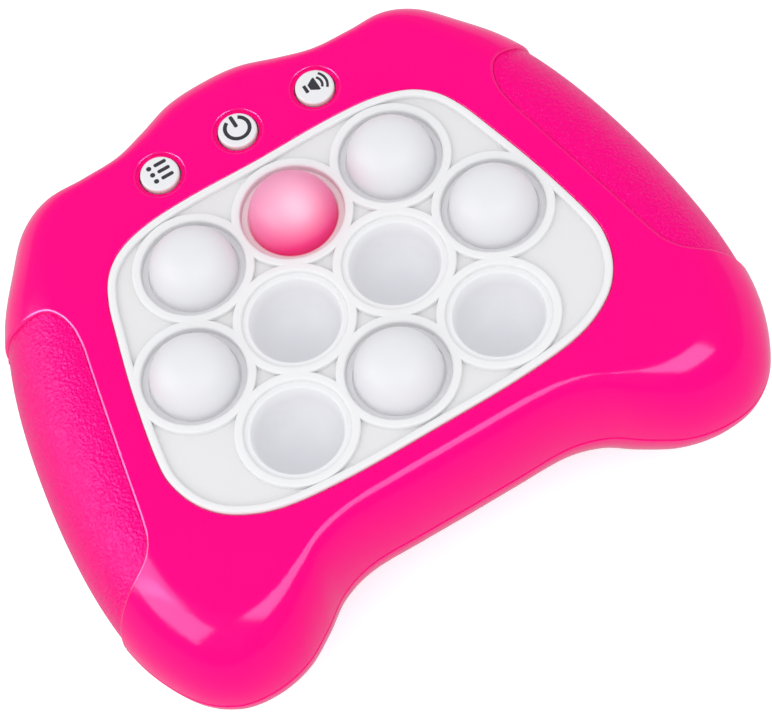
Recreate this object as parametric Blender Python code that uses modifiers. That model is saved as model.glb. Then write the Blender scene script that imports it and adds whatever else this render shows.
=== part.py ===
# Electronic bubble pop game: a two-horned case with ten popping bubbles, three buttons and a reset plate.
# Metres, +Z up, +Y towards the function buttons. The underside of the case is at Z = 0.

import math

import bmesh
import bpy
from mathutils import Matrix

# Case
SIDE_MARGIN = 0.0222
BACK_MARGIN = 0.0270
HORN_MARGIN = 0.0213
JOINT_Z = 0.0200
FACE_Z = 0.0375
JOINT_GAP = 0.0003
WALL = 0.0022
TOP_ROUNDNESS = 2.0
BOTTOM_ROUNDNESS = 1.7
SHOULDER_DROP_SHARE = 0.6

# Ring rims, pad and frame
RIM_Z = 0.0380
BUBBLE_SPACING = 0.0215
ROW_SPACING = 0.01993
PAD_SIDE_MARGIN = 0.01415
PAD_BACK_MARGIN = 0.01387
PAD_FRONT_MARGIN = 0.01367
PAD_BORDER = 0.0014
PAD_FLOOR_DEPTH = 0.0018
PAD_THICKNESS = 0.0040
FLANGE_REACH = 0.0013
RING_OUTER_SLOPE = 0.0004
RING_TOP_WIDTH = 0.0013
RING_INNER_SLOPE = 0.0005
RING_CLEARANCE = 0.0008
FRAME_THICKNESS = 0.0015
FRAME_WALL = 0.0010

# Bubbles
BUBBLE_MARGIN = 0.00235
BUBBLE_HEIGHT = 0.0080
BUBBLE_SKIN = 0.0009
BUBBLE_ROUNDNESS = 2.4
BUBBLE_CLEARANCE = 0.00035

# Function buttons and what lies under them
BUTTON_SPACING = 0.0171
BUTTON_MARGIN = 0.0076
BUTTON_R = 0.0038
BUTTON_PROUD = 0.0008
BUTTON_EDGE = 0.0005
BUTTON_FLANGE_R = 0.0046
BUTTON_FLANGE_THICKNESS = 0.0009
BUTTON_STEM_R = 0.0015
BUTTON_TRAVEL = 0.0008
DISH_TOP_R = 0.0053
DISH_R = 0.0047
DISH_DEPTH = 0.0006
BUTTON_BOARD_Z = 0.0285
BUTTON_BOARD_MARGIN = 0.0044
BUTTON_BOARD_HALF_Y = 0.0050
BUTTON_SWITCH_SIDE = 0.0060
BUTTON_SWITCH_HEIGHT = 0.0025
BUTTON_SWITCH_STEM_R = 0.0011
BUTTON_SWITCH_STEM_HEIGHT = 0.0007
BUTTON_POST_R = 0.0020
BUTTON_PIN_R = 0.0009
BUTTON_PIN_PROUD = 0.0008

# Boards
BOARD_THICKNESS = 0.0016
BOARD_CLEARANCE = 0.0004
BOARD_SIDE_MARGIN = 0.0009
BOARD_END_MARGIN = 0.0082
BOARD_CORNER_R = 0.0040
LIGHT_SIDE = 0.0030
LIGHT_HEIGHT = 0.0012
LIGHT_OFFSET = 0.0046
BUBBLE_SWITCH_SIDE = 0.0036
BUBBLE_SWITCH_HEIGHT = 0.0020
BUBBLE_SWITCH_STEM_R = 0.0009
BUBBLE_SWITCH_STEM_HEIGHT = 0.0026
BUBBLE_SWITCH_OFFSET = 0.0044
CHIP_SIDE = 0.0070
CHIP_HEIGHT = 0.0014
FRAME_POST_R = 0.0020
FRAME_POST_SHARES = ((0.836, 0.414), (0.905, -0.357))
BOARD_SCREW_R = 0.0008
BOARD_SCREW_HEAD_R = 0.0018
BOARD_SCREW_HEAD = 0.0012
BOARD_SCREW_LENGTH = 0.0070

# Reset plate
RESET_SIDE_MARGIN = 0.0015
RESET_END_MARGIN = 0.0005
RESET_THICKNESS = 0.0018
RESET_FLANGE = 0.0060
RESET_PRESS_RECESS = 0.0006
RESET_CORNER_R = 0.0040
RESET_POST_R = 0.0020
RESET_POST_CLEARANCE = 0.0005
RESET_SPRING_SHARES = (0.85, 0.56)
RESET_SPRING_R = 0.0023
RESET_SPRING_WIRE_R = 0.0003
RESET_SPRING_TURNS = 4
RESET_SPIGOT_R = 0.0014
RESET_SPIGOT_HEIGHT = 0.0020

# Battery bay
CELL_R = 0.00525
CELL_LENGTH = 0.0445
CELL_TIP_R = 0.0019
CELL_TIP = 0.0008
BAY_FRONT_CLEARANCE = 0.0008
CONTACT_ROOM = 0.00435
BAY_WALL = 0.0012
BAY_TOP_CLEARANCE = 0.0004
CONTACT_THICKNESS = 0.0005
CONTACT_HALF_Y = 0.0040
CONTACT_HEIGHT = 0.0080
CONTACT_BUMP_R = 0.0018
DOOR_THICKNESS = 0.0012
DOOR_RECESS = 0.0002
DOOR_LEDGE = 0.0013
DOOR_EAR_REACH = 0.0046
DOOR_EAR_R = 0.0036
DOOR_TAB = 0.0016
DOOR_TAB_THICKNESS = 0.0006
DOOR_TAB_HALF_Y = 0.0030
DOOR_TAB_OFFSET = 0.0060
DOOR_PAD_Z = 0.0030
DOOR_SCREW_SEAT_Z = 0.0015
DOOR_SCREW_HEAD = 0.0008
DOOR_SCREW_TIP_Z = 0.0052
DOOR_BOSS_WALL = 0.0012
DOOR_BOSS_Z = 0.0070

# Case screws and their bosses
CASE_SCREW_SHARES = ((0.729, -0.692), (0.773, 0.132), (0.554, 0.707))
CASE_SCREW_R = 0.0013
CASE_SCREW_HEAD_R = 0.0026
CASE_SCREW_HEAD = 0.0018
CASE_SCREW_TIP_Z = 0.0250
CASE_SCREW_SEAT_Z = 0.0070
CASE_BOSS_R = 0.0036
SCREW_HEAD_TAPER = 0.75

# Speaker
SPEAKER_SHARES = (0.722, -0.255)
SPEAKER_R = 0.0095
SPEAKER_HEIGHT = 0.0045
SPEAKER_MAGNET_R = 0.0055
SPEAKER_MAGNET_HEIGHT = 0.0025
SPEAKER_Z = 0.0080
SPEAKER_SEAT_R = 0.0110
SPEAKER_SEAT_DEPTH = 0.0015
SPEAKER_CHANNEL_R = 0.0070
SPEAKER_CHANNEL_Z = 0.0060
SOUND_HOLE_R = 0.0010
SOUND_HOLE_RING_R = 0.0040
SOUND_HOLES = 6

# Side grips
GRIP_SINK = 0.0006
GRIP_THICKNESS = 0.0011
GRIP_WALL = 0.0018
GRIP_EDGE_Z = 0.0006

# Leads
LEAD_R = 0.0006
LEAD_STEPS = 4
LEAD_RUN = 0.0040
BATTERY_LEAD_X = 0.0240

# Shared clearances and counts
GAP = 0.0003
OVERRUN = 0.0020
MERGE = 0.00001
EDGE_STEPS = 2
OUTER_LEVELS = 5
INNER_LEVELS = 3
ROUND_STEPS = 16
BUBBLE_STEPS = 16
SMALL_STEPS = 10
BUBBLE_LEVELS = 4
SPRING_CORNERS = 6

# Worked out from the sizes above
BUBBLE_R = BUBBLE_SPACING / 2 - BUBBLE_MARGIN
RING_INNER_R = BUBBLE_R + RING_CLEARANCE
RING_TOP_INNER_R = RING_INNER_R + RING_INNER_SLOPE
RING_TOP_OUTER_R = RING_TOP_INNER_R + RING_TOP_WIDTH
RING_OUTER_R = RING_TOP_OUTER_R + RING_OUTER_SLOPE
PAD_HALF_WIDTH = 1.5 * BUBBLE_SPACING + PAD_SIDE_MARGIN
PAD_BACK = ROW_SPACING + PAD_BACK_MARGIN
PAD_FRONT = ROW_SPACING + PAD_FRONT_MARGIN
HALF_WIDTH = PAD_HALF_WIDTH + SIDE_MARGIN
BACK_REACH = PAD_BACK + BACK_MARGIN
HORN_REACH = PAD_FRONT + HORN_MARGIN
BUTTON_Y = PAD_BACK + BUTTON_MARGIN
BUTTON_BOARD_HALF_X = BUTTON_SPACING + BUTTON_BOARD_MARGIN
BOARD_HALF_X = PAD_HALF_WIDTH - BOARD_SIDE_MARGIN
BOARD_HALF_Y = PAD_FRONT - BOARD_END_MARGIN
RESET_HALF_X = 1.5 * BUBBLE_SPACING + RESET_POST_R + RESET_SIDE_MARGIN
RESET_HALF_Y = ROW_SPACING + RESET_POST_R + RESET_END_MARGIN
RESET_PRESS_HALF_X = RESET_HALF_X - RESET_FLANGE
RESET_PRESS_HALF_Y = RESET_HALF_Y - RESET_FLANGE
CELL_SPACING = 2 * CELL_R + GAP
BAY_HALF_X = CELL_LENGTH / 2 + CONTACT_ROOM
BAY_HALF_Y = CELL_SPACING / 2 + CELL_R + GAP
BAY_Y = RESET_HALF_Y + BAY_FRONT_CLEARANCE + BAY_WALL + BAY_HALF_Y
PAD_FLOOR_Z = RIM_Z - PAD_FLOOR_DEPTH
PAD_BOTTOM_Z = RIM_Z - PAD_THICKNESS
CEILING_Z = FACE_Z - WALL
FRAME_TOP_Z = PAD_BOTTOM_Z - GAP
FRAME_BOTTOM_Z = FRAME_TOP_Z - FRAME_THICKNESS
WELL_R = BUBBLE_R + BUBBLE_CLEARANCE
BOARD_TOP_Z = PAD_FLOOR_Z - 2 * BUBBLE_HEIGHT - BOARD_CLEARANCE
BOARD_BOTTOM_Z = BOARD_TOP_Z - BOARD_THICKNESS
RESET_FLANGE_Z = WALL + GAP
RESET_TOP_Z = RESET_FLANGE_Z + RESET_THICKNESS
POST_TOP_Z = PAD_FLOOR_Z - BUBBLE_HEIGHT - BUBBLE_SKIN - RESET_POST_CLEARANCE
DOOR_TOP_Z = DOOR_RECESS + DOOR_THICKNESS
CELL_Z = WALL + GAP + CELL_R
BAY_TOP_Z = CELL_Z + CELL_R + BAY_TOP_CLEARANCE
BUTTON_PIN_Z = BUTTON_BOARD_Z - BOARD_THICKNESS - BUTTON_PIN_PROUD

# Outlines from the back middle round the right-hand side to the front middle. X is a share of the half width.
# Y is a share of the reach to the back where it is positive, and of the reach to the horns where it is negative.
EDGE_SHARES = (
    (0.000, 1.000), (0.117, 0.987), (0.233, 0.934), (0.335, 0.890), (0.452, 0.887),
    (0.569, 0.893), (0.663, 0.844), (0.743, 0.738), (0.837, 0.590), (0.905, 0.403),
    (0.958, 0.156), (0.993, -0.146), (1.000, -0.437), (0.975, -0.683), (0.904, -0.878),
    (0.813, -0.976), (0.707, -1.000), (0.598, -0.973), (0.503, -0.903), (0.415, -0.823),
    (0.306, -0.781), (0.146, -0.780), (0.000, -0.781),
)
SHOULDER_SHARES = (
    (0.000, 0.839), (0.109, 0.831), (0.211, 0.799), (0.306, 0.780), (0.408, 0.770),
    (0.496, 0.757), (0.561, 0.707), (0.612, 0.625), (0.656, 0.510), (0.685, 0.362),
    (0.722, 0.148), (0.758, -0.128), (0.787, -0.383), (0.787, -0.565), (0.751, -0.701),
    (0.700, -0.774), (0.634, -0.794), (0.561, -0.780), (0.481, -0.740), (0.401, -0.699),
    (0.299, -0.674), (0.146, -0.667), (0.000, -0.667),
)
FOOT_SHARES = (
    (0.000, 0.855), (0.109, 0.849), (0.219, 0.832), (0.321, 0.822), (0.437, 0.812),
    (0.510, 0.773), (0.561, 0.707), (0.598, 0.609), (0.627, 0.477), (0.656, 0.329),
    (0.678, 0.132), (0.700, -0.109), (0.714, -0.310), (0.707, -0.437), (0.671, -0.546),
    (0.620, -0.601), (0.561, -0.610), (0.496, -0.583), (0.437, -0.537), (0.379, -0.492),
    (0.292, -0.466), (0.146, -0.455), (0.000, -0.455),
)
PAD_SHARES = (
    (0.000, 0.994), (0.302, 1.000), (0.517, 0.982), (0.668, 0.923), (0.767, 0.817),
    (0.828, 0.663), (0.875, 0.444), (0.940, 0.089), (0.996, -0.327), (0.996, -0.521),
    (0.944, -0.708), (0.841, -0.851), (0.668, -0.952), (0.388, -0.994), (0.000, -1.000),
)
GRIP_SHARES = (
    (1.093, 0.625), (0.933, 0.563), (0.867, 0.523), (0.797, 0.487), (0.736, 0.464),
    (0.703, 0.428), (0.685, 0.367), (0.688, 0.285), (0.797, -0.375), (0.809, -0.430),
    (0.845, -0.488), (0.911, -0.525), (0.991, -0.568), (1.093, -0.638),
)

# Places of the bubbles in reading order, as shares of the spacing along a row and of the spacing of the rows
BUBBLE_SHARES = (
    (-1.0, 1), (0.0, 1), (1.0, 1),
    (-1.5, 0), (-0.5, 0), (0.5, 0), (1.5, 0),
    (-1.0, -1), (0.0, -1), (1.0, -1),
)
POPPED_IN = (5, 6, 8, 10)
LIT_UP = 2


# Scene, materials and naming

for leftover in list(bpy.data.objects):
    bpy.data.objects.remove(leftover)

parts = bpy.data.collections.new("bubble_pop_game")
cutters = bpy.data.collections.new("cutters")
bpy.context.scene.collection.children.link(parts)
bpy.context.scene.collection.children.link(cutters)


def material(name, colour, roughness, metallic=0.0):
    made = bpy.data.materials.new(name)
    made.use_nodes = True
    shader = made.node_tree.nodes["Principled BSDF"]
    shader.inputs["Base Color"].default_value = (*colour, 1.0)
    shader.inputs["Roughness"].default_value = roughness
    shader.inputs["Metallic"].default_value = metallic
    return made


PINK = material("pink_gloss", (1.0, 0.0, 0.22), 0.25)
GRAIN = material("pink_grain", (0.95, 0.0, 0.25), 0.5)
WHITE = material("white_silicone", (0.86, 0.86, 0.88), 0.4)
LIT = material("lit_silicone", (1.0, 0.25, 0.45), 0.4)
CAP = material("white_plastic", (0.9, 0.9, 0.9), 0.3)
GREEN = material("circuit_board", (0.02, 0.2, 0.08), 0.5)
BLACK = material("black_plastic", (0.03, 0.03, 0.03), 0.5)
STEEL = material("steel", (0.6, 0.6, 0.62), 0.3, 1.0)
CELL_SKIN = material("cell_sleeve", (0.1, 0.12, 0.2), 0.4)


def finished(name, bm, where, skin=None):
    """Turns a bmesh into an object in a collection, with its doubles merged and its faces pointing out."""
    bmesh.ops.remove_doubles(bm, verts=bm.verts, dist=MERGE)
    bmesh.ops.recalc_face_normals(bm, faces=bm.faces)
    mesh = bpy.data.meshes.new(name)
    bm.to_mesh(mesh)
    bm.free()
    made = bpy.data.objects.new(name, mesh)
    where.objects.link(made)
    if skin:
        mesh.materials.append(skin)
    else:
        made.hide_render = True
        made.display_type = "WIRE"
    return made


def part(name, bm, skin):
    """A visible piece, smooth where it is round and sharp at its corners."""
    made = finished(name, bm, parts, skin)
    made.data.shade_smooth()
    made.data.set_sharp_from_angle(angle=math.radians(35))
    return made


def cutter(name, bm):
    return finished(name, bm, cutters)


def change(target, tool, operation):
    """Cuts, joins or intersects the target with another object or with every object of a collection."""
    modifier = target.modifiers.new(tool.name, "BOOLEAN")
    modifier.operation = operation
    modifier.solver = "EXACT"
    if isinstance(tool, bpy.types.Collection):
        modifier.operand_type = "COLLECTION"
        modifier.collection = tool
    else:
        modifier.object = tool


# Solids that a bmesh collects

def add_cylinder(bm, x, y, low, high, radius, steps=SMALL_STEPS, top_radius=None):
    bmesh.ops.create_cone(
        bm, cap_ends=True, segments=steps, radius1=radius,
        radius2=radius if top_radius is None else top_radius, depth=high - low,
        matrix=Matrix.Translation((x, y, (low + high) / 2)),
    )


def add_box(bm, low, high):
    size = [b - a for a, b in zip(low, high)]
    centre = [(a + b) / 2 for a, b in zip(low, high)]
    bmesh.ops.create_cube(
        bm, size=1.0, matrix=Matrix.Translation(centre) @ Matrix.Diagonal((*size, 1.0))
    )


def add_slab(bm, outline, low, high):
    """A flat plate whose outline is a list of points."""
    bottom = [bm.verts.new((x, y, low)) for x, y in outline]
    face = bm.faces.new(bottom)
    risen = bmesh.ops.extrude_face_region(bm, geom=[face])["geom"]
    points = [v for v in risen if isinstance(v, bmesh.types.BMVert)]
    bmesh.ops.translate(bm, verts=points, vec=(0, 0, high - low))


def rounded_rectangle(x, y, half_x, half_y, radius, steps=4):
    outline = []
    for corner, (side_x, side_y) in enumerate(((1, 1), (-1, 1), (-1, -1), (1, -1))):
        for step in range(steps + 1):
            angle = math.pi / 2 * (corner + step / steps)
            outline.append((
                x + side_x * (half_x - radius) + radius * math.cos(angle),
                y + side_y * (half_y - radius) + radius * math.sin(angle),
            ))
    return outline


def turned(name, profile, x, y, skin=None, steps=SMALL_STEPS):
    """A turned solid: the profile runs down its outer side from the axis at the top to the axis below."""
    bm = bmesh.new()
    points = [bm.verts.new((radius, 0, z)) for radius, z in profile]
    for a, b in zip(points, points[1:]):
        bm.edges.new((a, b))
    mesh = bpy.data.meshes.new(name)
    bm.to_mesh(mesh)
    bm.free()
    made = bpy.data.objects.new(name, mesh)
    (parts if skin else cutters).objects.link(made)
    made.location = (x, y, 0)
    spin = made.modifiers.new("turn", "SCREW")
    spin.steps = steps
    spin.render_steps = steps
    spin.use_merge_vertices = True
    spin.merge_threshold = MERGE
    spin.use_smooth_shade = True
    if skin:
        mesh.materials.append(skin)
    else:
        made.hide_render = True
        made.display_type = "WIRE"
    return made


def tube(name, route, radius, skin, fineness):
    """A wire along a list of points."""
    curve = bpy.data.curves.new(name, "CURVE")
    curve.dimensions = "3D"
    curve.bevel_depth = radius
    curve.bevel_resolution = fineness
    curve.use_fill_caps = True
    spline = curve.splines.new("POLY")
    spline.points.add(len(route) - 1)
    for point, place in zip(spline.points, route):
        point.co = (*place, 1.0)
    curve.materials.append(skin)
    made = bpy.data.objects.new(name, curve)
    parts.objects.link(made)
    return made


def smooth_route(points, steps):
    """Points on a smooth curve through the given ones, ends included."""
    route = []
    padded = [points[0], *points, points[-1]]
    for a, b, c, d in zip(padded, padded[1:], padded[2:], padded[3:]):
        for step in range(steps):
            t = step / steps
            route.append(tuple(
                q + 0.5 * t * ((r - p) + t * ((2 * p - 5 * q + 4 * r - s) + t * (3 * (q - r) + s - p)))
                for p, q, r, s in zip(a, b, c, d)
            ))
    route.append(tuple(points[-1]))
    return route


# Outlines

def placed(shares, half_width, back, front):
    return [(x * half_width, y * (back if y > 0 else front)) for x, y in shares]


def mirrored(point):
    return -point[0], point[1]


def loop_of(points, steps=EDGE_STEPS):
    """The smooth closed outline of a symmetric shape, from the points of its right half."""
    padded = [mirrored(points[1]), *points, mirrored(points[-2])]
    half = []
    for a, b, c, d in zip(padded, padded[1:], padded[2:], padded[3:]):
        for step in range(steps):
            t = step / steps
            half.append(tuple(
                q + 0.5 * t * ((r - p) + t * ((2 * p - 5 * q + 4 * r - s) + t * (3 * (q - r) + s - p)))
                for p, q, r, s in zip(a, b, c, d)
            ))
    half.append(points[-1])
    return half + [mirrored(point) for point in reversed(half[1:-1])]


def inset(loop, distance):
    """The outline moved inwards, square to itself. It runs clockwise seen from above."""
    moved = []
    for index, (x, y) in enumerate(loop):
        before_x, before_y = loop[index - 1]
        after_x, after_y = loop[(index + 1) % len(loop)]
        along_x, along_y = after_x - before_x, after_y - before_y
        length = math.hypot(along_x, along_y)
        moved.append((x + along_y / length * distance, y - along_x / length * distance))
    return moved


EDGE = loop_of(placed(EDGE_SHARES, HALF_WIDTH, BACK_REACH, HORN_REACH))
PAD_Y = -(max(y for x, y in EDGE) + min(y for x, y in EDGE)) / 2


def shifted(loop):
    return [(x, y + PAD_Y) for x, y in loop]


EDGE = shifted(EDGE)
SHOULDER = shifted(loop_of(placed(SHOULDER_SHARES, HALF_WIDTH, BACK_REACH, HORN_REACH)))
FOOT = shifted(loop_of(placed(FOOT_SHARES, HALF_WIDTH, BACK_REACH, HORN_REACH)))
PAD = shifted(loop_of(placed(PAD_SHARES, PAD_HALF_WIDTH, PAD_BACK, PAD_FRONT)))
GRIP = shifted(reversed(placed(GRIP_SHARES, HALF_WIDTH, BACK_REACH, HORN_REACH)))
[(SPEAKER_X, SPEAKER_Y)] = shifted(placed([SPEAKER_SHARES], HALF_WIDTH, BACK_REACH, HORN_REACH))
BUBBLE_CENTRES = [(column * BUBBLE_SPACING, row * ROW_SPACING + PAD_Y) for column, row in BUBBLE_SHARES]
BUTTON_XS = (-BUTTON_SPACING, 0.0, BUTTON_SPACING)
BUTTON_POST_XS = (-BUTTON_SPACING / 2, BUTTON_SPACING / 2)
BUTTONS_Y = BUTTON_Y + PAD_Y


def loft(rings):
    """One closed bmesh through rings of as many points each, capped flat at both ends."""
    bm = bmesh.new()
    rows = [[bm.verts.new(point) for point in ring] for ring in rings]
    for low, high in zip(rows, rows[1:]):
        for index, corner in enumerate(low):
            after = (index + 1) % len(low)
            bm.faces.new((corner, low[after], high[after], high[index]))
    bm.faces.new(rows[0])
    bm.faces.new(rows[-1])
    return bm


def at_height(loop, z):
    return [(x, y, z) for x, y in loop]


def shell_rings(edge, face, edge_z, face_z, roundness, depth):
    """The rounded body between the joint and a flat face, with its skin moved in by a depth."""
    edge = inset(edge, depth)
    face = inset(face, depth * SHOULDER_DROP_SHARE)
    face_z += depth if face_z < edge_z else -depth
    levels = OUTER_LEVELS if depth == 0 else INNER_LEVELS
    rings = []
    for level in range(levels + 1):
        angle = math.pi / 2 * level / levels
        out = math.cos(angle) ** (2 / roundness)
        rise = math.sin(angle) ** (2 / roundness)
        rings.append([
            (fx + (ex - fx) * out, fy + (ey - fy) * out, edge_z + (face_z - edge_z) * rise)
            for (ex, ey), (fx, fy) in zip(edge, face)
        ])
    return rings


def top_rings(depth):
    return shell_rings(EDGE, SHOULDER, JOINT_Z + JOINT_GAP / 2, FACE_Z, TOP_ROUNDNESS, depth)


def bottom_rings(depth):
    return shell_rings(EDGE, FOOT, JOINT_Z - JOINT_GAP / 2, 0.0, BOTTOM_ROUNDNESS, depth)


def past_joint(rings, side):
    """The same body, carried past the joint so that it cuts the shell open there."""
    return [[(x, y, z + side * OVERRUN) for x, y, z in rings[0]], *rings]


# Top shell: rounded pink case, open below, with the pad opening, the button holes and its screw bosses

def case_screw_places():
    places = placed(CASE_SCREW_SHARES, HALF_WIDTH, BACK_REACH, HORN_REACH)
    return [(side * x, y + PAD_Y) for x, y in places for side in (-1, 1)]


def make_top_shell():
    shell = part("top_shell", loft(top_rings(0.0)), PINK)
    change(shell, cutter("top_hollow", loft(past_joint(top_rings(WALL), -1))), "DIFFERENCE")

    posts = bmesh.new()
    for x, y in case_screw_places():
        add_cylinder(posts, x, y, JOINT_Z + JOINT_GAP / 2, FACE_Z, CASE_BOSS_R)
    pins = bmesh.new()
    for x in BUTTON_POST_XS:
        add_cylinder(posts, x, BUTTONS_Y, BUTTON_BOARD_Z + GAP, FACE_Z, BUTTON_POST_R)
        add_cylinder(pins, x, BUTTONS_Y, BUTTON_PIN_Z, BUTTON_BOARD_Z + OVERRUN, BUTTON_PIN_R)
    bosses = cutter("top_bosses", posts)
    change(bosses, cutter("top_core", loft(past_joint(top_rings(WALL / 2), -1))), "INTERSECT")
    change(bosses, cutter("button_board_pins", pins), "UNION")
    change(shell, bosses, "UNION")
    for side in (-1, 1):
        change(shell, grip_bed(side), "UNION")

    holes = bmesh.new()
    for x, y in case_screw_places():
        add_cylinder(
            holes, x, y, JOINT_Z - OVERRUN, CASE_SCREW_TIP_Z + OVERRUN, CASE_SCREW_R + GAP
        )
    add_slab(holes, PAD, CEILING_Z - OVERRUN, FACE_Z + OVERRUN)
    change(shell, cutter("top_openings", holes), "DIFFERENCE")

    for name, x in zip(("mode", "power", "sound"), BUTTON_XS):
        profile = (
            (0.0, FACE_Z + OVERRUN), (DISH_TOP_R, FACE_Z + OVERRUN), (DISH_TOP_R, FACE_Z),
            (DISH_R, FACE_Z - DISH_DEPTH), (BUTTON_R + GAP, FACE_Z - DISH_DEPTH),
            (BUTTON_R + GAP, CEILING_Z - OVERRUN), (0.0, CEILING_Z - OVERRUN),
        )
        change(shell, turned(name + "_hole", profile, x, BUTTONS_Y, steps=ROUND_STEPS), "DIFFERENCE")
    for side in (-1, 1):
        change(shell, grip_pocket(side), "DIFFERENCE")
    return shell


# Side grips: grained panels let into pockets of the top shell, with a thicker wall behind them

def grip_outline(side, grow):
    """The panel's outline seen from above, grown outwards by a distance."""
    loop = GRIP if grow == 0 else inset(GRIP, -grow)
    return [(side * x, y) for x, y in (loop if side > 0 else reversed(loop))]


def grip_region(name, side, grow, low):
    bm = bmesh.new()
    add_slab(bm, grip_outline(side, grow), low, FACE_Z + OVERRUN)
    return cutter(name, bm)


def grip_bed(side):
    """Extra wall behind a grip, so that the pocket for it leaves a sound wall."""
    name = "grip_bed_" + ("left" if side < 0 else "right")
    bed = cutter(name, loft(top_rings(WALL / 2)))
    change(bed, cutter(name + "_core", loft(past_joint(top_rings(GRIP_POCKET + GRIP_WALL), -1))), "DIFFERENCE")
    change(bed, grip_region(name + "_region", side, GRIP_WALL, JOINT_Z - OVERRUN), "INTERSECT")
    return bed


def grip_pocket(side):
    name = "grip_pocket_" + ("left" if side < 0 else "right")
    pocket = grip_region(name, side, GAP, JOINT_Z + GRIP_EDGE_Z)
    change(pocket, cutter(name + "_floor", loft(past_joint(top_rings(GRIP_POCKET), -1))), "DIFFERENCE")
    return pocket


def make_grip(name, side):
    grip = part(name, loft(top_rings(GRIP_SINK)), GRAIN)
    change(grip, cutter(name + "_back", loft(past_joint(top_rings(GRIP_SINK + GRIP_THICKNESS), -1))), "DIFFERENCE")
    change(grip, grip_region(name + "_region", side, 0, JOINT_Z + GRIP_EDGE_Z + GAP), "INTERSECT")
    return grip


GRIP_POCKET = GRIP_SINK + GRIP_THICKNESS + GAP


# Bottom shell: the lower case with the battery bay, the reset opening, screw bosses and the speaker seat

def make_bottom_shell():
    shell = part("bottom_shell", loft(bottom_rings(0.0)), PINK)
    change(shell, cutter("bottom_hollow", loft(past_joint(bottom_rings(WALL), 1))), "DIFFERENCE")

    solids = bmesh.new()
    for x, y in case_screw_places():
        add_cylinder(solids, x, y, 0.0, JOINT_Z - JOINT_GAP / 2, CASE_BOSS_R)
    add_cylinder(
        solids, SPEAKER_X, SPEAKER_Y, 0.0, SPEAKER_Z + SPEAKER_SEAT_DEPTH, SPEAKER_SEAT_R, ROUND_STEPS
    )
    add_cylinder(
        solids, DOOR_SCREW_X, DOOR_SCREW_Y, 0.0, DOOR_BOSS_Z, DOOR_EAR_R + GAP + DOOR_BOSS_WALL, ROUND_STEPS
    )
    bosses = cutter("bottom_bosses", solids)
    change(bosses, cutter("bottom_core", loft(past_joint(bottom_rings(WALL / 2), 1))), "INTERSECT")
    change(shell, bosses, "UNION")

    bay = bmesh.new()
    outer_x, outer_y = BAY_HALF_X + BAY_WALL, BAY_HALF_Y + BAY_WALL
    add_box(bay, (-outer_x, BAY_MIDDLE_Y - outer_y, WALL / 2), (outer_x, BAY_MIDDLE_Y + outer_y, BAY_TOP_Z + BAY_WALL))
    change(shell, cutter("bay_box", bay), "UNION")

    room = bmesh.new()
    add_box(
        room, (-BAY_HALF_X, BAY_MIDDLE_Y - BAY_HALF_Y, -OVERRUN), (BAY_HALF_X, BAY_MIDDLE_Y + BAY_HALF_Y, BAY_TOP_Z)
    )
    change(shell, cutter("bay_room", room), "DIFFERENCE")

    openings = bmesh.new()
    add_slab(openings, door_outline(GAP), -OVERRUN, DOOR_TOP_Z + GAP)
    press = rounded_rectangle(0.0, PAD_Y, RESET_PRESS_HALF_X + GAP, RESET_PRESS_HALF_Y + GAP, RESET_CORNER_R)
    add_slab(openings, press, -OVERRUN, WALL + OVERRUN)
    for x, y in case_screw_places():
        add_cylinder(openings, x, y, -OVERRUN, CASE_SCREW_SEAT_Z, CASE_SCREW_HEAD_R + GAP)
    change(shell, cutter("bottom_openings", openings), "DIFFERENCE")

    bores = bmesh.new()
    for x, y in case_screw_places():
        add_cylinder(bores, x, y, CASE_SCREW_SEAT_Z - OVERRUN, JOINT_Z + OVERRUN, CASE_SCREW_R + GAP)
    add_cylinder(bores, SPEAKER_X, SPEAKER_Y, SPEAKER_CHANNEL_Z, SPEAKER_Z, SPEAKER_CHANNEL_R, ROUND_STEPS)
    for y in door_tab_ys():
        add_box(
            bores,
            (-DOOR_HALF_X - DOOR_TAB - GAP, y - DOOR_TAB_HALF_Y - GAP, DOOR_TAB_Z - GAP),
            (-BAY_HALF_X + MERGE, y + DOOR_TAB_HALF_Y + GAP, WALL + OVERRUN),
        )
    change(shell, cutter("bottom_bores", bores), "DIFFERENCE")

    profile = (
        (0.0, DOOR_SCREW_TIP_Z + GAP), (CASE_SCREW_R + GAP, DOOR_SCREW_TIP_Z + GAP),
        (CASE_SCREW_R + GAP, DOOR_PAD_Z + GAP), (DOOR_EAR_R + GAP / 2, DOOR_PAD_Z + GAP),
        (DOOR_EAR_R + GAP / 2, -OVERRUN), (0.0, -OVERRUN),
    )
    pocket = turned("door_screw_pocket", profile, DOOR_SCREW_X, DOOR_SCREW_Y, steps=ROUND_STEPS)
    change(shell, pocket, "DIFFERENCE")

    sound = bmesh.new()
    add_cylinder(sound, SPEAKER_X, SPEAKER_Y, SPEAKER_Z - GAP, SPEAKER_Z + OVERRUN, SPEAKER_R + GAP, ROUND_STEPS)
    add_cylinder(sound, SPEAKER_X, SPEAKER_Y, -OVERRUN, SPEAKER_CHANNEL_Z + OVERRUN / 2, SOUND_HOLE_R)
    for hole in range(SOUND_HOLES):
        angle = 2 * math.pi * hole / SOUND_HOLES
        add_cylinder(
            sound, SPEAKER_X + SOUND_HOLE_RING_R * math.cos(angle), SPEAKER_Y + SOUND_HOLE_RING_R * math.sin(angle),
            -OVERRUN, SPEAKER_CHANNEL_Z + OVERRUN / 2, SOUND_HOLE_R,
        )
    change(shell, cutter("sound_openings", sound), "DIFFERENCE")
    return shell


# Battery bay: door with tabs on one side and a captive screw on the other, cells and contacts

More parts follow.
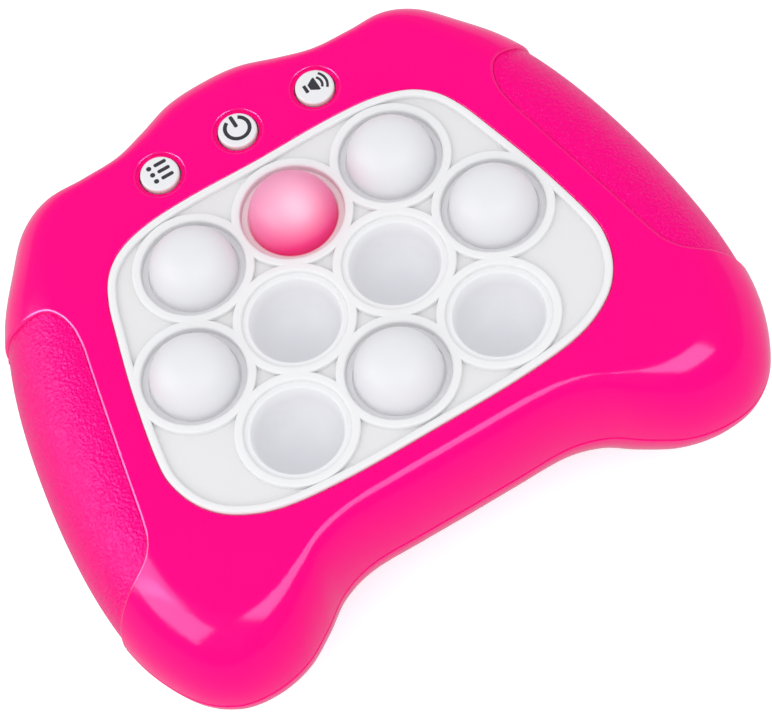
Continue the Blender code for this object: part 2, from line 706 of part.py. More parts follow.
BAY_MIDDLE_Y = BAY_Y + PAD_Y
DOOR_HALF_X = BAY_HALF_X + DOOR_LEDGE - GAP
DOOR_HALF_Y = BAY_HALF_Y + DOOR_LEDGE - GAP
DOOR_SCREW_X = DOOR_HALF_X + DOOR_EAR_REACH
DOOR_SCREW_Y = BAY_MIDDLE_Y
DOOR_TAB_Z = DOOR_TOP_Z - DOOR_TAB_THICKNESS


def door_tab_ys():
    return (BAY_MIDDLE_Y - DOOR_TAB_OFFSET, BAY_MIDDLE_Y + DOOR_TAB_OFFSET)


def door_outline(grow):
    """A rectangle with a rounded ear on its right-hand side for the screw."""
    x, y, ear = DOOR_HALF_X + grow, DOOR_HALF_Y + grow, DOOR_EAR_R + grow
    outline = [(x, BAY_MIDDLE_Y - y), (x, BAY_MIDDLE_Y - ear)]
    half_turn = ROUND_STEPS // 2
    for step in range(half_turn + 1):
        angle = math.pi * (step / half_turn - 0.5)
        outline.append((DOOR_SCREW_X + ear * math.cos(angle), DOOR_SCREW_Y + ear * math.sin(angle)))
    return outline + [(x, BAY_MIDDLE_Y + ear), (x, BAY_MIDDLE_Y + y), (-x, BAY_MIDDLE_Y + y), (-x, BAY_MIDDLE_Y - y)]


def make_battery_door():
    bm = bmesh.new()
    add_slab(bm, door_outline(0.0), DOOR_RECESS, DOOR_TOP_Z)
    door = part("battery_door", bm, PINK)
    tabs = bmesh.new()
    for y in door_tab_ys():
        add_box(
            tabs, (-DOOR_HALF_X - DOOR_TAB, y - DOOR_TAB_HALF_Y, DOOR_TAB_Z),
            (-DOOR_HALF_X + DOOR_TAB, y + DOOR_TAB_HALF_Y, DOOR_TOP_Z + GAP / 2),
        )
    add_cylinder(
        tabs, DOOR_SCREW_X, DOOR_SCREW_Y, DOOR_RECESS + DOOR_THICKNESS / 2, DOOR_PAD_Z, DOOR_EAR_R - GAP / 2,
        ROUND_STEPS,
    )
    change(door, cutter("door_tabs", tabs), "UNION")
    profile = (
        (0.0, DOOR_PAD_Z + OVERRUN), (CASE_SCREW_R + GAP, DOOR_PAD_Z + OVERRUN),
        (CASE_SCREW_R + GAP, DOOR_SCREW_SEAT_Z), (CASE_SCREW_HEAD_R + GAP, DOOR_SCREW_SEAT_Z),
        (CASE_SCREW_HEAD_R + GAP, -OVERRUN), (0.0, -OVERRUN),
    )
    change(door, turned("door_hole", profile, DOOR_SCREW_X, DOOR_SCREW_Y), "DIFFERENCE")


def screw_profile(tip_z, seat_z, shank_r, head_r, head):
    """A screw that points up, with its head below the seat."""
    return (
        (0.0, tip_z), (shank_r / 2, tip_z), (shank_r, tip_z - shank_r), (shank_r, seat_z),
        (head_r, seat_z), (head_r, seat_z - head / 2), (head_r * SCREW_HEAD_TAPER, seat_z - head),
        (0.0, seat_z - head),
    )


def make_cells():
    for number, side in ((1, -1), (2, 1)):
        y = BAY_MIDDLE_Y + side * CELL_SPACING / 2
        profile = (
            (0.0, CELL_LENGTH / 2), (CELL_TIP_R, CELL_LENGTH / 2), (CELL_TIP_R, CELL_LENGTH / 2 - CELL_TIP),
            (CELL_R, CELL_LENGTH / 2 - CELL_TIP), (CELL_R, -CELL_LENGTH / 2), (0.0, -CELL_LENGTH / 2),
        )
        cell = turned("battery_cell_%d" % number, profile, 0.0, y, CELL_SKIN, 16)
        cell.location = (0.0, y, CELL_Z)
        cell.rotation_euler = (0.0, -side * math.pi / 2, 0.0)


def make_contacts():
    outer = BAY_HALF_X - GAP
    inner = outer - CONTACT_THICKNESS
    bottom = CELL_Z - CONTACT_HEIGHT / 2
    top = CELL_Z + CONTACT_HEIGHT / 2

    def plate(name, side, low_y, high_y):
        bm = bmesh.new()
        low_x, high_x = sorted((side * outer, side * inner))
        add_box(bm, (low_x, low_y, bottom), (high_x, high_y, top))
        made = part(name, bm, STEEL)
        bumps = bmesh.new()
        for cell_side in (-1, 1):
            y = BAY_MIDDLE_Y + cell_side * CELL_SPACING / 2
            if low_y < y < high_y:
                reach = (inner + outer) / 2, CELL_LENGTH / 2 + GAP
                bmesh.ops.create_cone(
                    bumps, cap_ends=True, segments=SMALL_STEPS, radius1=CONTACT_BUMP_R, radius2=CONTACT_BUMP_R,
                    depth=reach[0] - reach[1],
                    matrix=Matrix.Translation((side * sum(reach) / 2, y, CELL_Z))
                    @ Matrix.Rotation(math.pi / 2, 4, "Y"),
                )
        change(made, cutter(name + "_bumps", bumps), "UNION")

    low, high = BAY_MIDDLE_Y - CELL_SPACING / 2, BAY_MIDDLE_Y + CELL_SPACING / 2
    plate("contact_bridge", -1, low - CONTACT_HALF_Y, high + CONTACT_HALF_Y)
    plate("contact_plus", 1, low - CONTACT_HALF_Y, low + CONTACT_HALF_Y)
    plate("contact_minus", 1, high - CONTACT_HALF_Y, high + CONTACT_HALF_Y)


# Bubble pad: silicone sheet with a raised border, a sunk floor and ten rings, trapped under the case

def make_pad():
    border = inset(PAD, GAP)
    flange = inset(PAD, -FLANGE_REACH)
    flange_top = CEILING_Z - GAP
    floor = inset(border, PAD_BORDER)
    pad = part("bubble_pad", loft((
        at_height(flange, PAD_BOTTOM_Z), at_height(flange, flange_top), at_height(border, flange_top),
        at_height(border, RIM_Z), at_height(floor, RIM_Z), at_height(floor, PAD_FLOOR_Z),
    )), WHITE)
    rings = bpy.data.collections.new("pad_rings")
    wells = bpy.data.collections.new("pad_wells")
    for group in (rings, wells):
        cutters.children.link(group)
        group.hide_render = True
    for number, (x, y) in enumerate(BUBBLE_CENTRES, 1):
        ring = bmesh.new()
        add_cylinder(ring, x, y, PAD_BOTTOM_Z + GAP, RIM_Z, RING_OUTER_R, ROUND_STEPS, RING_TOP_OUTER_R)
        finished("pad_ring_%02d" % number, ring, rings)
        profile = (
            (0.0, RIM_Z + OVERRUN), (RING_TOP_INNER_R, RIM_Z + OVERRUN), (RING_TOP_INNER_R, RIM_Z),
            (RING_INNER_R, PAD_FLOOR_Z), (WELL_R, PAD_FLOOR_Z), (WELL_R, PAD_BOTTOM_Z - OVERRUN),
            (0.0, PAD_BOTTOM_Z - OVERRUN),
        )
        well = turned("pad_well_%02d" % number, profile, x, y, steps=ROUND_STEPS)
        cutters.objects.unlink(well)
        wells.objects.link(well)
    change(pad, rings, "UNION")
    change(pad, wells, "DIFFERENCE")


# Pad frame: a tray that holds the sheet up against the case and carries the main board on four posts

def frame_post_places():
    places = placed(FRAME_POST_SHARES, PAD_HALF_WIDTH, PAD_BACK, PAD_FRONT)
    return [(side * x, y + PAD_Y) for x, y in places for side in (-1, 1)]


def make_frame():
    inner = inset(PAD, -FLANGE_REACH - GAP)
    outer = inset(inner, -FRAME_WALL)
    frame = part("pad_frame", loft((
        at_height(outer, FRAME_BOTTOM_Z), at_height(outer, CEILING_Z - GAP),
        at_height(inner, CEILING_Z - GAP), at_height(inner, FRAME_TOP_Z),
    )), CAP)
    change(frame, cutter("frame_room", loft(top_rings(WALL + GAP))), "INTERSECT")
    posts = bmesh.new()
    for x, y in frame_post_places():
        add_cylinder(posts, x, y, BOARD_TOP_Z + GAP, FRAME_TOP_Z - GAP, FRAME_POST_R)
    change(frame, cutter("frame_posts", posts), "UNION")
    holes = bmesh.new()
    for x, y in BUBBLE_CENTRES:
        add_cylinder(holes, x, y, FRAME_BOTTOM_Z - OVERRUN, FRAME_TOP_Z + OVERRUN, WELL_R + GAP, ROUND_STEPS)
    for x, y in frame_post_places():
        add_cylinder(holes, x, y, BOARD_TOP_Z - OVERRUN, BOARD_TOP_Z + BOARD_SCREW_LENGTH, BOARD_SCREW_R + GAP)
    change(frame, cutter("frame_holes", holes), "DIFFERENCE")


# Bubbles: a domed skin whose popped form is the same dome turned inside out through its rim

def dome_curve(radius, height):
    """Points of a rounded cap from its top to its rim."""
    angles = [math.pi / 2 * step / BUBBLE_LEVELS for step in range(BUBBLE_LEVELS)]
    slope = 2 / BUBBLE_ROUNDNESS
    points = [(radius * math.sin(angle) ** slope, height * math.cos(angle) ** slope) for angle in angles]
    return [*points, (radius, 0.0)]


def make_bubbles():
    inner_r = BUBBLE_R - BUBBLE_SKIN
    for number, (x, y) in enumerate(BUBBLE_CENTRES, 1):
        if number in POPPED_IN:
            bowl = dome_curve(inner_r, BUBBLE_HEIGHT)
            under = reversed(dome_curve(BUBBLE_R, BUBBLE_HEIGHT + BUBBLE_SKIN))
            profile = [(r, -z) for r, z in (*bowl, *under)]
        else:
            outer = dome_curve(BUBBLE_R, BUBBLE_HEIGHT)
            profile = [*outer, *reversed(dome_curve(inner_r, BUBBLE_HEIGHT - BUBBLE_SKIN))]
        profile = [(r, PAD_FLOOR_Z + z) for r, z in profile]
        turned("bubble_%02d" % number, profile, x, y, LIT if number == LIT_UP else WHITE, BUBBLE_STEPS)


# Function buttons: round caps with a flange that keeps them in the case, over switches on a small board

SWITCH_TOP_Z = BUTTON_BOARD_Z + GAP + BUTTON_SWITCH_HEIGHT + BUTTON_SWITCH_STEM_HEIGHT


def make_buttons():
    top = FACE_Z + BUTTON_PROUD
    flange_top = CEILING_Z - GAP
    flange_bottom = flange_top - BUTTON_FLANGE_THICKNESS
    stem_bottom = SWITCH_TOP_Z + BUTTON_TRAVEL + GAP
    profile = (
        (0.0, top), (BUTTON_R - BUTTON_EDGE, top), (BUTTON_R, top - BUTTON_EDGE), (BUTTON_R, flange_top),
        (BUTTON_FLANGE_R, flange_top), (BUTTON_FLANGE_R, flange_bottom), (BUTTON_STEM_R, flange_bottom),
        (BUTTON_STEM_R, stem_bottom), (0.0, stem_bottom),
    )
    for name, x in zip(("mode", "power", "sound"), BUTTON_XS):
        turned(name + "_button", profile, x, BUTTONS_Y, CAP, ROUND_STEPS)
        push_switch(
            name + "_switch", x, BUTTONS_Y, BUTTON_BOARD_Z + GAP, BUTTON_SWITCH_SIDE, BUTTON_SWITCH_HEIGHT,
            BUTTON_SWITCH_STEM_R, BUTTON_SWITCH_STEM_HEIGHT,
        )
    bm = bmesh.new()
    add_box(
        bm, (-BUTTON_BOARD_HALF_X, BUTTONS_Y - BUTTON_BOARD_HALF_Y, BUTTON_BOARD_Z - BOARD_THICKNESS),
        (BUTTON_BOARD_HALF_X, BUTTONS_Y + BUTTON_BOARD_HALF_Y, BUTTON_BOARD_Z),
    )
    board = part("button_board", bm, GREEN)
    holes = bmesh.new()
    for x in BUTTON_POST_XS:
        add_cylinder(holes, x, BUTTONS_Y, BUTTON_PIN_Z, BUTTON_BOARD_Z + OVERRUN, BUTTON_PIN_R + GAP)
    change(board, cutter("button_board_holes", holes), "DIFFERENCE")


def push_switch(name, x, y, low, side, height, stem_r, stem_height):
    """A square switch body with a round plunger."""
    bm = bmesh.new()
    half = side / 2
    add_box(bm, (x - half, y - half, low), (x + half, y + half, low + height))
    switch = part(name, bm, BLACK)
    stem = bmesh.new()
    add_cylinder(stem, x, y, low + height / 2, low + height + stem_height, stem_r, 8)
    change(switch, cutter(name + "_stem", stem), "UNION")


# Main board: lights, chip and post holes, with a switch beside each light

def make_main_board():
    bm = bmesh.new()
    add_slab(
        bm, rounded_rectangle(0.0, PAD_Y, BOARD_HALF_X, BOARD_HALF_Y, BOARD_CORNER_R), BOARD_BOTTOM_Z, BOARD_TOP_Z
    )
    board = part("main_board", bm, GREEN)
    mounted = bmesh.new()
    half = LIGHT_SIDE / 2
    for x, y in BUBBLE_CENTRES:
        centre = y - LIGHT_OFFSET
        add_box(
            mounted, (x - half, centre - half, BOARD_TOP_Z - BOARD_THICKNESS / 2),
            (x + half, centre + half, BOARD_TOP_Z + LIGHT_HEIGHT),
        )
    chip = CHIP_SIDE / 2
    add_box(
        mounted, (-chip, PAD_Y - chip, BOARD_BOTTOM_Z - CHIP_HEIGHT), (chip, PAD_Y + chip, BOARD_TOP_Z - BOARD_THICKNESS / 2)
    )
    change(board, cutter("board_lights", mounted), "UNION")
    holes = bmesh.new()
    for x, y in BUBBLE_CENTRES:
        add_cylinder(holes, x, y, BOARD_BOTTOM_Z - OVERRUN, BOARD_TOP_Z + OVERRUN, RESET_POST_R + 2 * GAP)
    for x, y in frame_post_places():
        add_cylinder(holes, x, y, BOARD_BOTTOM_Z - OVERRUN, BOARD_TOP_Z + OVERRUN, BOARD_SCREW_R + GAP, 8)
    change(board, cutter("board_holes", holes), "DIFFERENCE")
    for number, (x, y) in enumerate(BUBBLE_CENTRES, 1):
        push_switch(
            "bubble_switch_%02d" % number, x, y + BUBBLE_SWITCH_OFFSET, BOARD_TOP_Z + GAP, BUBBLE_SWITCH_SIDE,
            BUBBLE_SWITCH_HEIGHT, BUBBLE_SWITCH_STEM_R, BUBBLE_SWITCH_STEM_HEIGHT,
        )


# Reset plate: a flanged plate in the underside whose posts push popped bubbles out, on four return springs

def spring_places():
    [(x, y)] = placed([RESET_SPRING_SHARES], RESET_HALF_X, RESET_HALF_Y, RESET_HALF_Y)
    return [(side * x, end * y + PAD_Y) for end in (1, -1) for side in (-1, 1)]


def make_reset_plate():
    bm = bmesh.new()
    add_slab(bm, rounded_rectangle(0.0, PAD_Y, RESET_HALF_X, RESET_HALF_Y, RESET_CORNER_R), RESET_FLANGE_Z, RESET_TOP_Z)
    plate = part("reset_plate", bm, CAP)
    press = bmesh.new()
    add_slab(
        press, rounded_rectangle(0.0, PAD_Y, RESET_PRESS_HALF_X, RESET_PRESS_HALF_Y, RESET_CORNER_R),
        RESET_PRESS_RECESS, RESET_TOP_Z - RESET_THICKNESS / 2,
    )
    change(plate, cutter("reset_press", press), "UNION")
    posts = bmesh.new()
    for x, y in BUBBLE_CENTRES:
        add_cylinder(posts, x, y, RESET_FLANGE_Z + RESET_THICKNESS / 2, POST_TOP_Z, RESET_POST_R)
    for x, y in spring_places():
        add_cylinder(
            posts, x, y, RESET_FLANGE_Z + RESET_THICKNESS / 2, RESET_TOP_Z + RESET_SPIGOT_HEIGHT, RESET_SPIGOT_R, 8
        )
    change(plate, cutter("reset_posts", posts), "UNION")


def make_springs():
    low = RESET_TOP_Z + GAP + RESET_SPRING_WIRE_R
    high = BOARD_BOTTOM_Z - GAP - RESET_SPRING_WIRE_R
    steps = RESET_SPRING_TURNS * SPRING_CORNERS
    for number, (x, y) in enumerate(spring_places(), 1):
        route = []
        for step in range(steps + 1):
            angle = 2 * math.pi * step / SPRING_CORNERS
            rise = step / steps
            route.append((
                x + RESET_SPRING_R * math.cos(angle), y + RESET_SPRING_R * math.sin(angle), low + (high - low) * rise
            ))
        tube("reset_spring_%d" % number, route, RESET_SPRING_WIRE_R, STEEL, 0)


# Speaker: a round driver with its magnet on top, in its seat over the sound holes

def make_speaker():
    profile = (
        (0.0, SPEAKER_Z + SPEAKER_HEIGHT + SPEAKER_MAGNET_HEIGHT),
        (SPEAKER_MAGNET_R, SPEAKER_Z + SPEAKER_HEIGHT + SPEAKER_MAGNET_HEIGHT),
        (SPEAKER_MAGNET_R, SPEAKER_Z + SPEAKER_HEIGHT), (SPEAKER_R, SPEAKER_Z + SPEAKER_HEIGHT / 2),
        (SPEAKER_R, SPEAKER_Z), (0.0, SPEAKER_Z),
    )
    turned("speaker", profile, SPEAKER_X, SPEAKER_Y, BLACK, ROUND_STEPS)


# Fasteners and leads

def make_screws():
    case = screw_profile(CASE_SCREW_TIP_Z, CASE_SCREW_SEAT_Z - GAP, CASE_SCREW_R, CASE_SCREW_HEAD_R, CASE_SCREW_HEAD)
    for number, (x, y) in enumerate(case_screw_places(), 1):
        turned("case_screw_%d" % number, case, x, y, STEEL)
    board = screw_profile(
        BOARD_TOP_Z + BOARD_SCREW_LENGTH - GAP, BOARD_BOTTOM_Z - GAP, BOARD_SCREW_R, BOARD_SCREW_HEAD_R,
        BOARD_SCREW_HEAD,
    )
    for number, (x, y) in enumerate(frame_post_places(), 1):
        turned("board_screw_%d" % number, board, x, y, STEEL, 8)
    door = screw_profile(
        DOOR_SCREW_TIP_Z, DOOR_SCREW_SEAT_Z - GAP, CASE_SCREW_R, CASE_SCREW_HEAD_R, DOOR_SCREW_HEAD
    )
    turned("door_screw", door, DOOR_SCREW_X, DOOR_SCREW_Y, STEEL)


def make_leads():
    on_board = BOARD_TOP_Z + LEAD_R + GAP
    over_bay = BAY_TOP_Z + BAY_WALL + LEAD_R + GAP
    bay_front = BAY_MIDDLE_Y - BAY_HALF_Y
    board_back = PAD_Y + BOARD_HALF_Y
    x = BATTERY_LEAD_X + 2 * LEAD_RUN
    battery = (
        (BATTERY_LEAD_X, bay_front + LEAD_RUN, over_bay),
        (BATTERY_LEAD_X + LEAD_RUN, bay_front + LEAD_RUN, over_bay),
        (x, board_back + 3 * LEAD_R, (over_bay + BOARD_TOP_Z) / 2),
        (x, board_back - LEAD_R, on_board + 2 * GAP),
        (x, board_back - LEAD_RUN, on_board),
    )
    tube("battery_lead", smooth_route(battery, LEAD_STEPS), LEAD_R, BLACK, 2)
    speaker_back = SPEAKER_Y + SPEAKER_R
    rim = SPEAKER_Z + SPEAKER_HEIGHT + LEAD_R + GAP
    speaker = (
        (SPEAKER_X, speaker_back - 2 * LEAD_R, rim),
        (SPEAKER_X, speaker_back + LEAD_RUN / 2, rim + LEAD_RUN),
        (BOARD_HALF_X + 2 * LEAD_R + GAP, speaker_back + LEAD_RUN, BOARD_TOP_Z),
        (BOARD_HALF_X - LEAD_R, speaker_back + LEAD_RUN, on_board + GAP),
        (BOARD_HALF_X - LEAD_RUN, speaker_back + LEAD_RUN, on_board),
    )
    tube("speaker_lead", smooth_route(speaker, LEAD_STEPS), LEAD_R, BLACK, 2)


def hang_door():
    """The battery door turns about its tabs and takes its captive screw along."""
    pivot = bpy.data.objects.new("door_hinge", None)
    pivot.location = (-DOOR_HALF_X, BAY_MIDDLE_Y, DOOR_RECESS)
    parts.objects.link(pivot)
    for name in ("battery_door", "door_screw"):
        piece = parts.objects[name]
        piece.parent = pivot
        piece.matrix_parent_inverse = Matrix.Translation(pivot.location).inverted()


make_top_shell()
make_grip("left_grip", -1)
make_grip("right_grip", 1)
make_bottom_shell()
make_pad()
make_frame()
make_bubbles()
make_buttons()
make_main_board()
make_reset_plate()
make_springs()
make_speaker()
make_battery_door()
make_cells()
make_contacts()
make_screws()
make_leads()
hang_door()
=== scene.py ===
# Electronic bubble pop game, dressed piece by piece in the order in which it is put together.
# Metres, +Z up, +Y towards the three function buttons. The underside of the case is at Z = 0.

import math

import bpy
from mathutils import Matrix, Vector


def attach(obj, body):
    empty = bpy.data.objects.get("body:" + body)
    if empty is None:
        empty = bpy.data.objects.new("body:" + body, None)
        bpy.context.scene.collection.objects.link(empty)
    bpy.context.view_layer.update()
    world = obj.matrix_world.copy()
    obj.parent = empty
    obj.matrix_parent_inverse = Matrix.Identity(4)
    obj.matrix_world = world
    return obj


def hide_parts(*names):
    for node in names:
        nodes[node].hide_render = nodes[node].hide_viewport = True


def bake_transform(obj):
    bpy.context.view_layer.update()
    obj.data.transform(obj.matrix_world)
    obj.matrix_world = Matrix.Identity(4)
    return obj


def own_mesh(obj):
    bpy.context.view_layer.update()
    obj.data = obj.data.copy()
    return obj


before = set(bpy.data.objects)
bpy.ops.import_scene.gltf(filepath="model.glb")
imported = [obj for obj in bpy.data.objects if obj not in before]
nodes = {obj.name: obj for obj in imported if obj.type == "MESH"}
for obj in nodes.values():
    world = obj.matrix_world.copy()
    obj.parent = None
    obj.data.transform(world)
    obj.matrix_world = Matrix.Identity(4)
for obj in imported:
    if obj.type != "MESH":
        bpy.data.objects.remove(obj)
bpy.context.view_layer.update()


# Camera
# It looks down from in front and a little to the left. The three directions are those of the picture:
# to its right, to its top and into it.

CAMERA_PLACE = Vector((-0.08314, -0.28245, 0.56916))
CAMERA_RIGHT = Vector((0.85811, -0.50052, -0.11456))
CAMERA_UP = Vector((0.49456, 0.74567, 0.44653))
CAMERA_AHEAD = Vector((0.13807, 0.43983, -0.88740))
CAMERA_LENS = 152.46
CAMERA_NEAR = 0.01

camera = bpy.data.objects.new("camera", bpy.data.cameras.new("camera"))
camera.data.lens = CAMERA_LENS
camera.data.clip_start = CAMERA_NEAR
turn = Matrix((CAMERA_RIGHT, CAMERA_UP, -CAMERA_AHEAD)).transposed()
camera.matrix_world = Matrix.Translation(CAMERA_PLACE) @ turn.to_4x4()
bpy.context.scene.collection.objects.link(camera)
bpy.context.scene.camera = camera
bpy.context.scene.view_settings.view_transform = "Standard"


# Lights and floor
# Three soft boxes shine in the gloss: in front, on the left, and behind on that side. A fourth and the even
# room light the rest, and the room is dim in the gloss. The floor is white to the camera, keeps the shadow
# and can be looked through from below.

LIGHT_DISTANCE = 1.2
ROOM_GREY = (0.955, 0.96, 0.98, 1.0)
ROOM_STRENGTH = 0.98
ROOM_SHINE = 0.25
FLOOR_SIZE = 12.0
FLOOR_DROP = 0.0001
FLOOR_COLOUR = (0.80, 0.80, 0.805, 1.0)
FLOOR_IN_GLOSS = (0.20, 0.20, 0.205, 1.0)
FLOOR_GLOW = 0.60
FLOOR_SHINE = 0.65
GRAIN_DEPTH = 0.0001


def soft_box(name, azimuth, elevation, width_angle, height_angle, radiance, shines):
    """A rectangle of even light that faces the game. Azimuth is measured from +Y towards +X."""
    a, e = math.radians(azimuth), math.radians(elevation)
    away = Vector((math.sin(a) * math.cos(e), math.cos(a) * math.cos(e), math.sin(e)))
    lamp = bpy.data.lights.new(name, "AREA")
    lamp.shape = "RECTANGLE"
    lamp.size = 2 * LIGHT_DISTANCE * math.tan(math.radians(width_angle) / 2)
    lamp.size_y = 2 * LIGHT_DISTANCE * math.tan(math.radians(height_angle) / 2)
    lamp.energy = radiance * math.pi * lamp.size * lamp.size_y
    box = bpy.data.objects.new(name, lamp)
    facing = away.to_track_quat("Z", "Y").to_matrix().to_4x4()
    box.matrix_world = Matrix.Translation(away * LIGHT_DISTANCE) @ facing
    box.visible_glossy = shines
    box.visible_diffuse = not shines
    bpy.context.scene.collection.objects.link(box)


soft_box("fill_light", -130, 50, 60, 50, 0.8, False)
soft_box("front_shine", 150, 60, 36, 34, 10.0, True)
soft_box("left_shine", -90, 38, 36, 30, 9.0, True)
soft_box("side_shine", -57, 34, 28, 50, 8.0, True)


class Socket:
    """A shader value. The operators add the node that does the sum."""

    def __init__(self, shader, link):
        self.shader = shader
        self.link = link

    def __add__(self, other):
        return self.shader.math("ADD", self, other)

    def __sub__(self, other):
        return self.shader.math("SUBTRACT", self, other)

    def __rsub__(self, other):
        return self.shader.math("SUBTRACT", other, self)

    def __mul__(self, other):
        return self.shader.math("MULTIPLY", self, other)

    __radd__ = __add__
    __rmul__ = __mul__


class Shader:
    """A material, or the room, under construction: every node is added by one method."""

    def __init__(self, name, room=None):
        self.material = room or bpy.data.materials.new(name)
        self.material.use_nodes = True
        self.tree = self.material.node_tree
        self.surface = self.tree.nodes["Background" if room else "Principled BSDF"]

    def node(self, kind, settings=None, *values, output=0, **named):
        made = self.tree.nodes.new(kind)
        for key, value in (settings or {}).items():
            setattr(made, key, value)
        for key, value in [*enumerate(values), *((k.replace("_", " "), v) for k, v in named.items())]:
            self.put(made.inputs[key], value)
        return Socket(self, made.outputs[output])

    def put(self, socket, value):
        if isinstance(value, Socket):
            self.tree.links.new(value.link, socket)
        else:
            socket.default_value = value

    def set(self, **named):
        for key, value in named.items():
            self.put(self.surface.inputs[key.replace("_", " ")], value)
        return self

    def math(self, operation, *values):
        return self.node("ShaderNodeMath", {"operation": operation}, *values)

    def ray(self, kind):
        return self.node("ShaderNodeLightPath", output=kind)

    def place(self, scale=(1.0, 1.0, 1.0)):
        point = self.node("ShaderNodeTexCoord", output="Object")
        return self.node("ShaderNodeMapping", None, point, Scale=scale)

    def noise(self, point, scale, detail=2.0):
        return self.node("ShaderNodeTexNoise", None, Vector=point, Scale=scale, Detail=detail)

    def mix(self, share, first, second):
        made = self.node("ShaderNodeMix", {"data_type": "RGBA"}, output=2)
        ports = made.link.node.inputs
        for port, value in zip((0, 6, 7), (share, first, second)):
            self.put(ports[port], value)
        return made

    def bump(self, height, strength, depth=GRAIN_DEPTH):
        return self.node("ShaderNodeBump", None, Strength=strength, Distance=depth, Height=height)

    def ramp(self, value, low, high, to_low=0.0, to_high=1.0):
        return self.node("ShaderNodeMapRange", None, value, low, high, to_low, to_high)

    def split(self, point):
        made = self.node("ShaderNodeSeparateXYZ", None, point)
        return [Socket(self, port) for port in made.link.node.outputs]


def deselect():
    """Clears the selection, in which every CAD node starts, because operators act on all of it."""
    bpy.ops.object.select_all(action="DESELECT")


def placed(name):
    """Names the primitive that was just added and moves its place and size into its mesh."""
    bpy.context.object.name = name
    bpy.ops.object.transform_apply()
    return bpy.context.object


def dress(piece, shader):
    """Gives a piece one material all over."""
    piece.data.materials.clear()
    piece.data.materials.append(shader.material)


room = Shader("room", bpy.data.worlds.new("room"))
room.set(Color=ROOM_GREY, Strength=room.ramp(room.ray("Is Glossy Ray"), 0.0, 1.0, ROOM_STRENGTH, ROOM_SHINE))
bpy.context.scene.world = room.material

floor_paint = Shader("floor_paint")
glossy = floor_paint.ray("Is Glossy Ray")
seen = floor_paint.math("MAXIMUM", floor_paint.ray("Is Camera Ray"), glossy * FLOOR_SHINE)
seen = floor_paint.math("MAXIMUM", seen, floor_paint.ray("Is Transmission Ray"))
floor_paint.set(
    Base_Color=floor_paint.mix(glossy, FLOOR_COLOUR, FLOOR_IN_GLOSS), Roughness=0.9, Specular_IOR_Level=0.0,
    Emission_Color=floor_paint.mix(seen, (0.0, 0.0, 0.0, 1.0), (1.0, 1.0, 1.0, 1.0)),
    Emission_Strength=FLOOR_GLOW,
)
see_through = floor_paint.node(
    "ShaderNodeMixShader", None, floor_paint.node("ShaderNodeNewGeometry", output="Backfacing"),
    Socket(floor_paint, floor_paint.surface.outputs["BSDF"]), floor_paint.node("ShaderNodeBsdfTransparent"),
)
floor_paint.put(floor_paint.tree.nodes["Material Output"].inputs["Surface"], see_through)

deselect()
bpy.ops.mesh.primitive_plane_add(size=FLOOR_SIZE, location=(0.0, 0.0, -FLOOR_DROP))
floor = placed("floor")
dress(floor, floor_paint)


# Lower case
# A glossy pink plastic moulding, with the outline of the upper case at the joint and rounded down to a flat
# foot. The battery bay, the reset opening, the screw bosses and the speaker seat are moulded into it.

HALF_WIDTH = 0.0686
BACK_REACH = 0.0608
HORN_REACH = 0.0549
JOINT_Z = 0.0200
JOINT_GAP = 0.0003
FACE_Z = 0.0375
WALL = 0.0022
JOINT_ROUND = 0.0002
CASE_DROP_SHARE = 0.6
LOWER_ROUNDNESS = 1.7
GAP = 0.0003
OVERRUN = 0.0020
MERGE = 0.000002
EDGE_STEPS = 8
GRIP_STEPS = 6
EAR_STEPS = 16
OUTER_LEVELS = 20
INNER_LEVELS = 10
GRIP_SINK = 0.0006
PINK = (1.0, 0.0, 0.225, 1.0)
PINK_SHADE = (0.99, 0.0, 0.215, 1.0)
CASE_SCREW_SHARES = ((0.729, -0.692), (0.773, 0.132), (0.554, 0.707))
CASE_BOSS_R = 0.0036
SCREW_R = 0.0013
SCREW_HEAD_R = 0.0026
SCREW_SEAT_Z = 0.0070
SPEAKER_SHARES = (0.722, -0.255)
SPEAKER_R = 0.0095
SPEAKER_Z = 0.0080
SPEAKER_TOP_Z = 0.0095
SPEAKER_BOSS_R = 0.0110
CHANNEL_R = 0.0070
CHANNEL_Z = 0.0060
SOUND_HOLE_R = 0.0010
SOUND_RING_R = 0.0040
SOUND_HOLES = 6
WIDE_SIDES = 48
POCKET_SIDES = 32
BORE_SIDES = 20
PIN_SIDES = 16
PRESS_HALF_X = 0.02975
PRESS_HALF_Y = 0.01643
PRESS_CORNER_R = 0.0040
BAY_Y = 0.03243
BAY_HALF_X = 0.0266
BAY_HALF_Y = 0.01095
BAY_TOP_Z = 0.0134
BAY_WALL = 0.0012
DOOR_HALF_X = 0.0276
DOOR_HALF_Y = 0.01195
DOOR_LOW_Z = 0.0002
DOOR_TOP_Z = 0.0014
DOOR_EAR_R = 0.0036
DOOR_SCREW_X = 0.0322
DOOR_SCREW_TIP_Z = 0.0052
DOOR_PAD_Z = 0.0030
DOOR_BOSS_R = 0.0051
DOOR_BOSS_Z = 0.0070
DOOR_TAB = 0.0016
DOOR_TAB_HEIGHT = 0.0006
DOOR_TAB_HALF_Y = 0.0030
DOOR_TAB_OFFSET = 0.0060
DOOR_TAB_YS = (BAY_Y - DOOR_TAB_OFFSET, BAY_Y + DOOR_TAB_OFFSET)

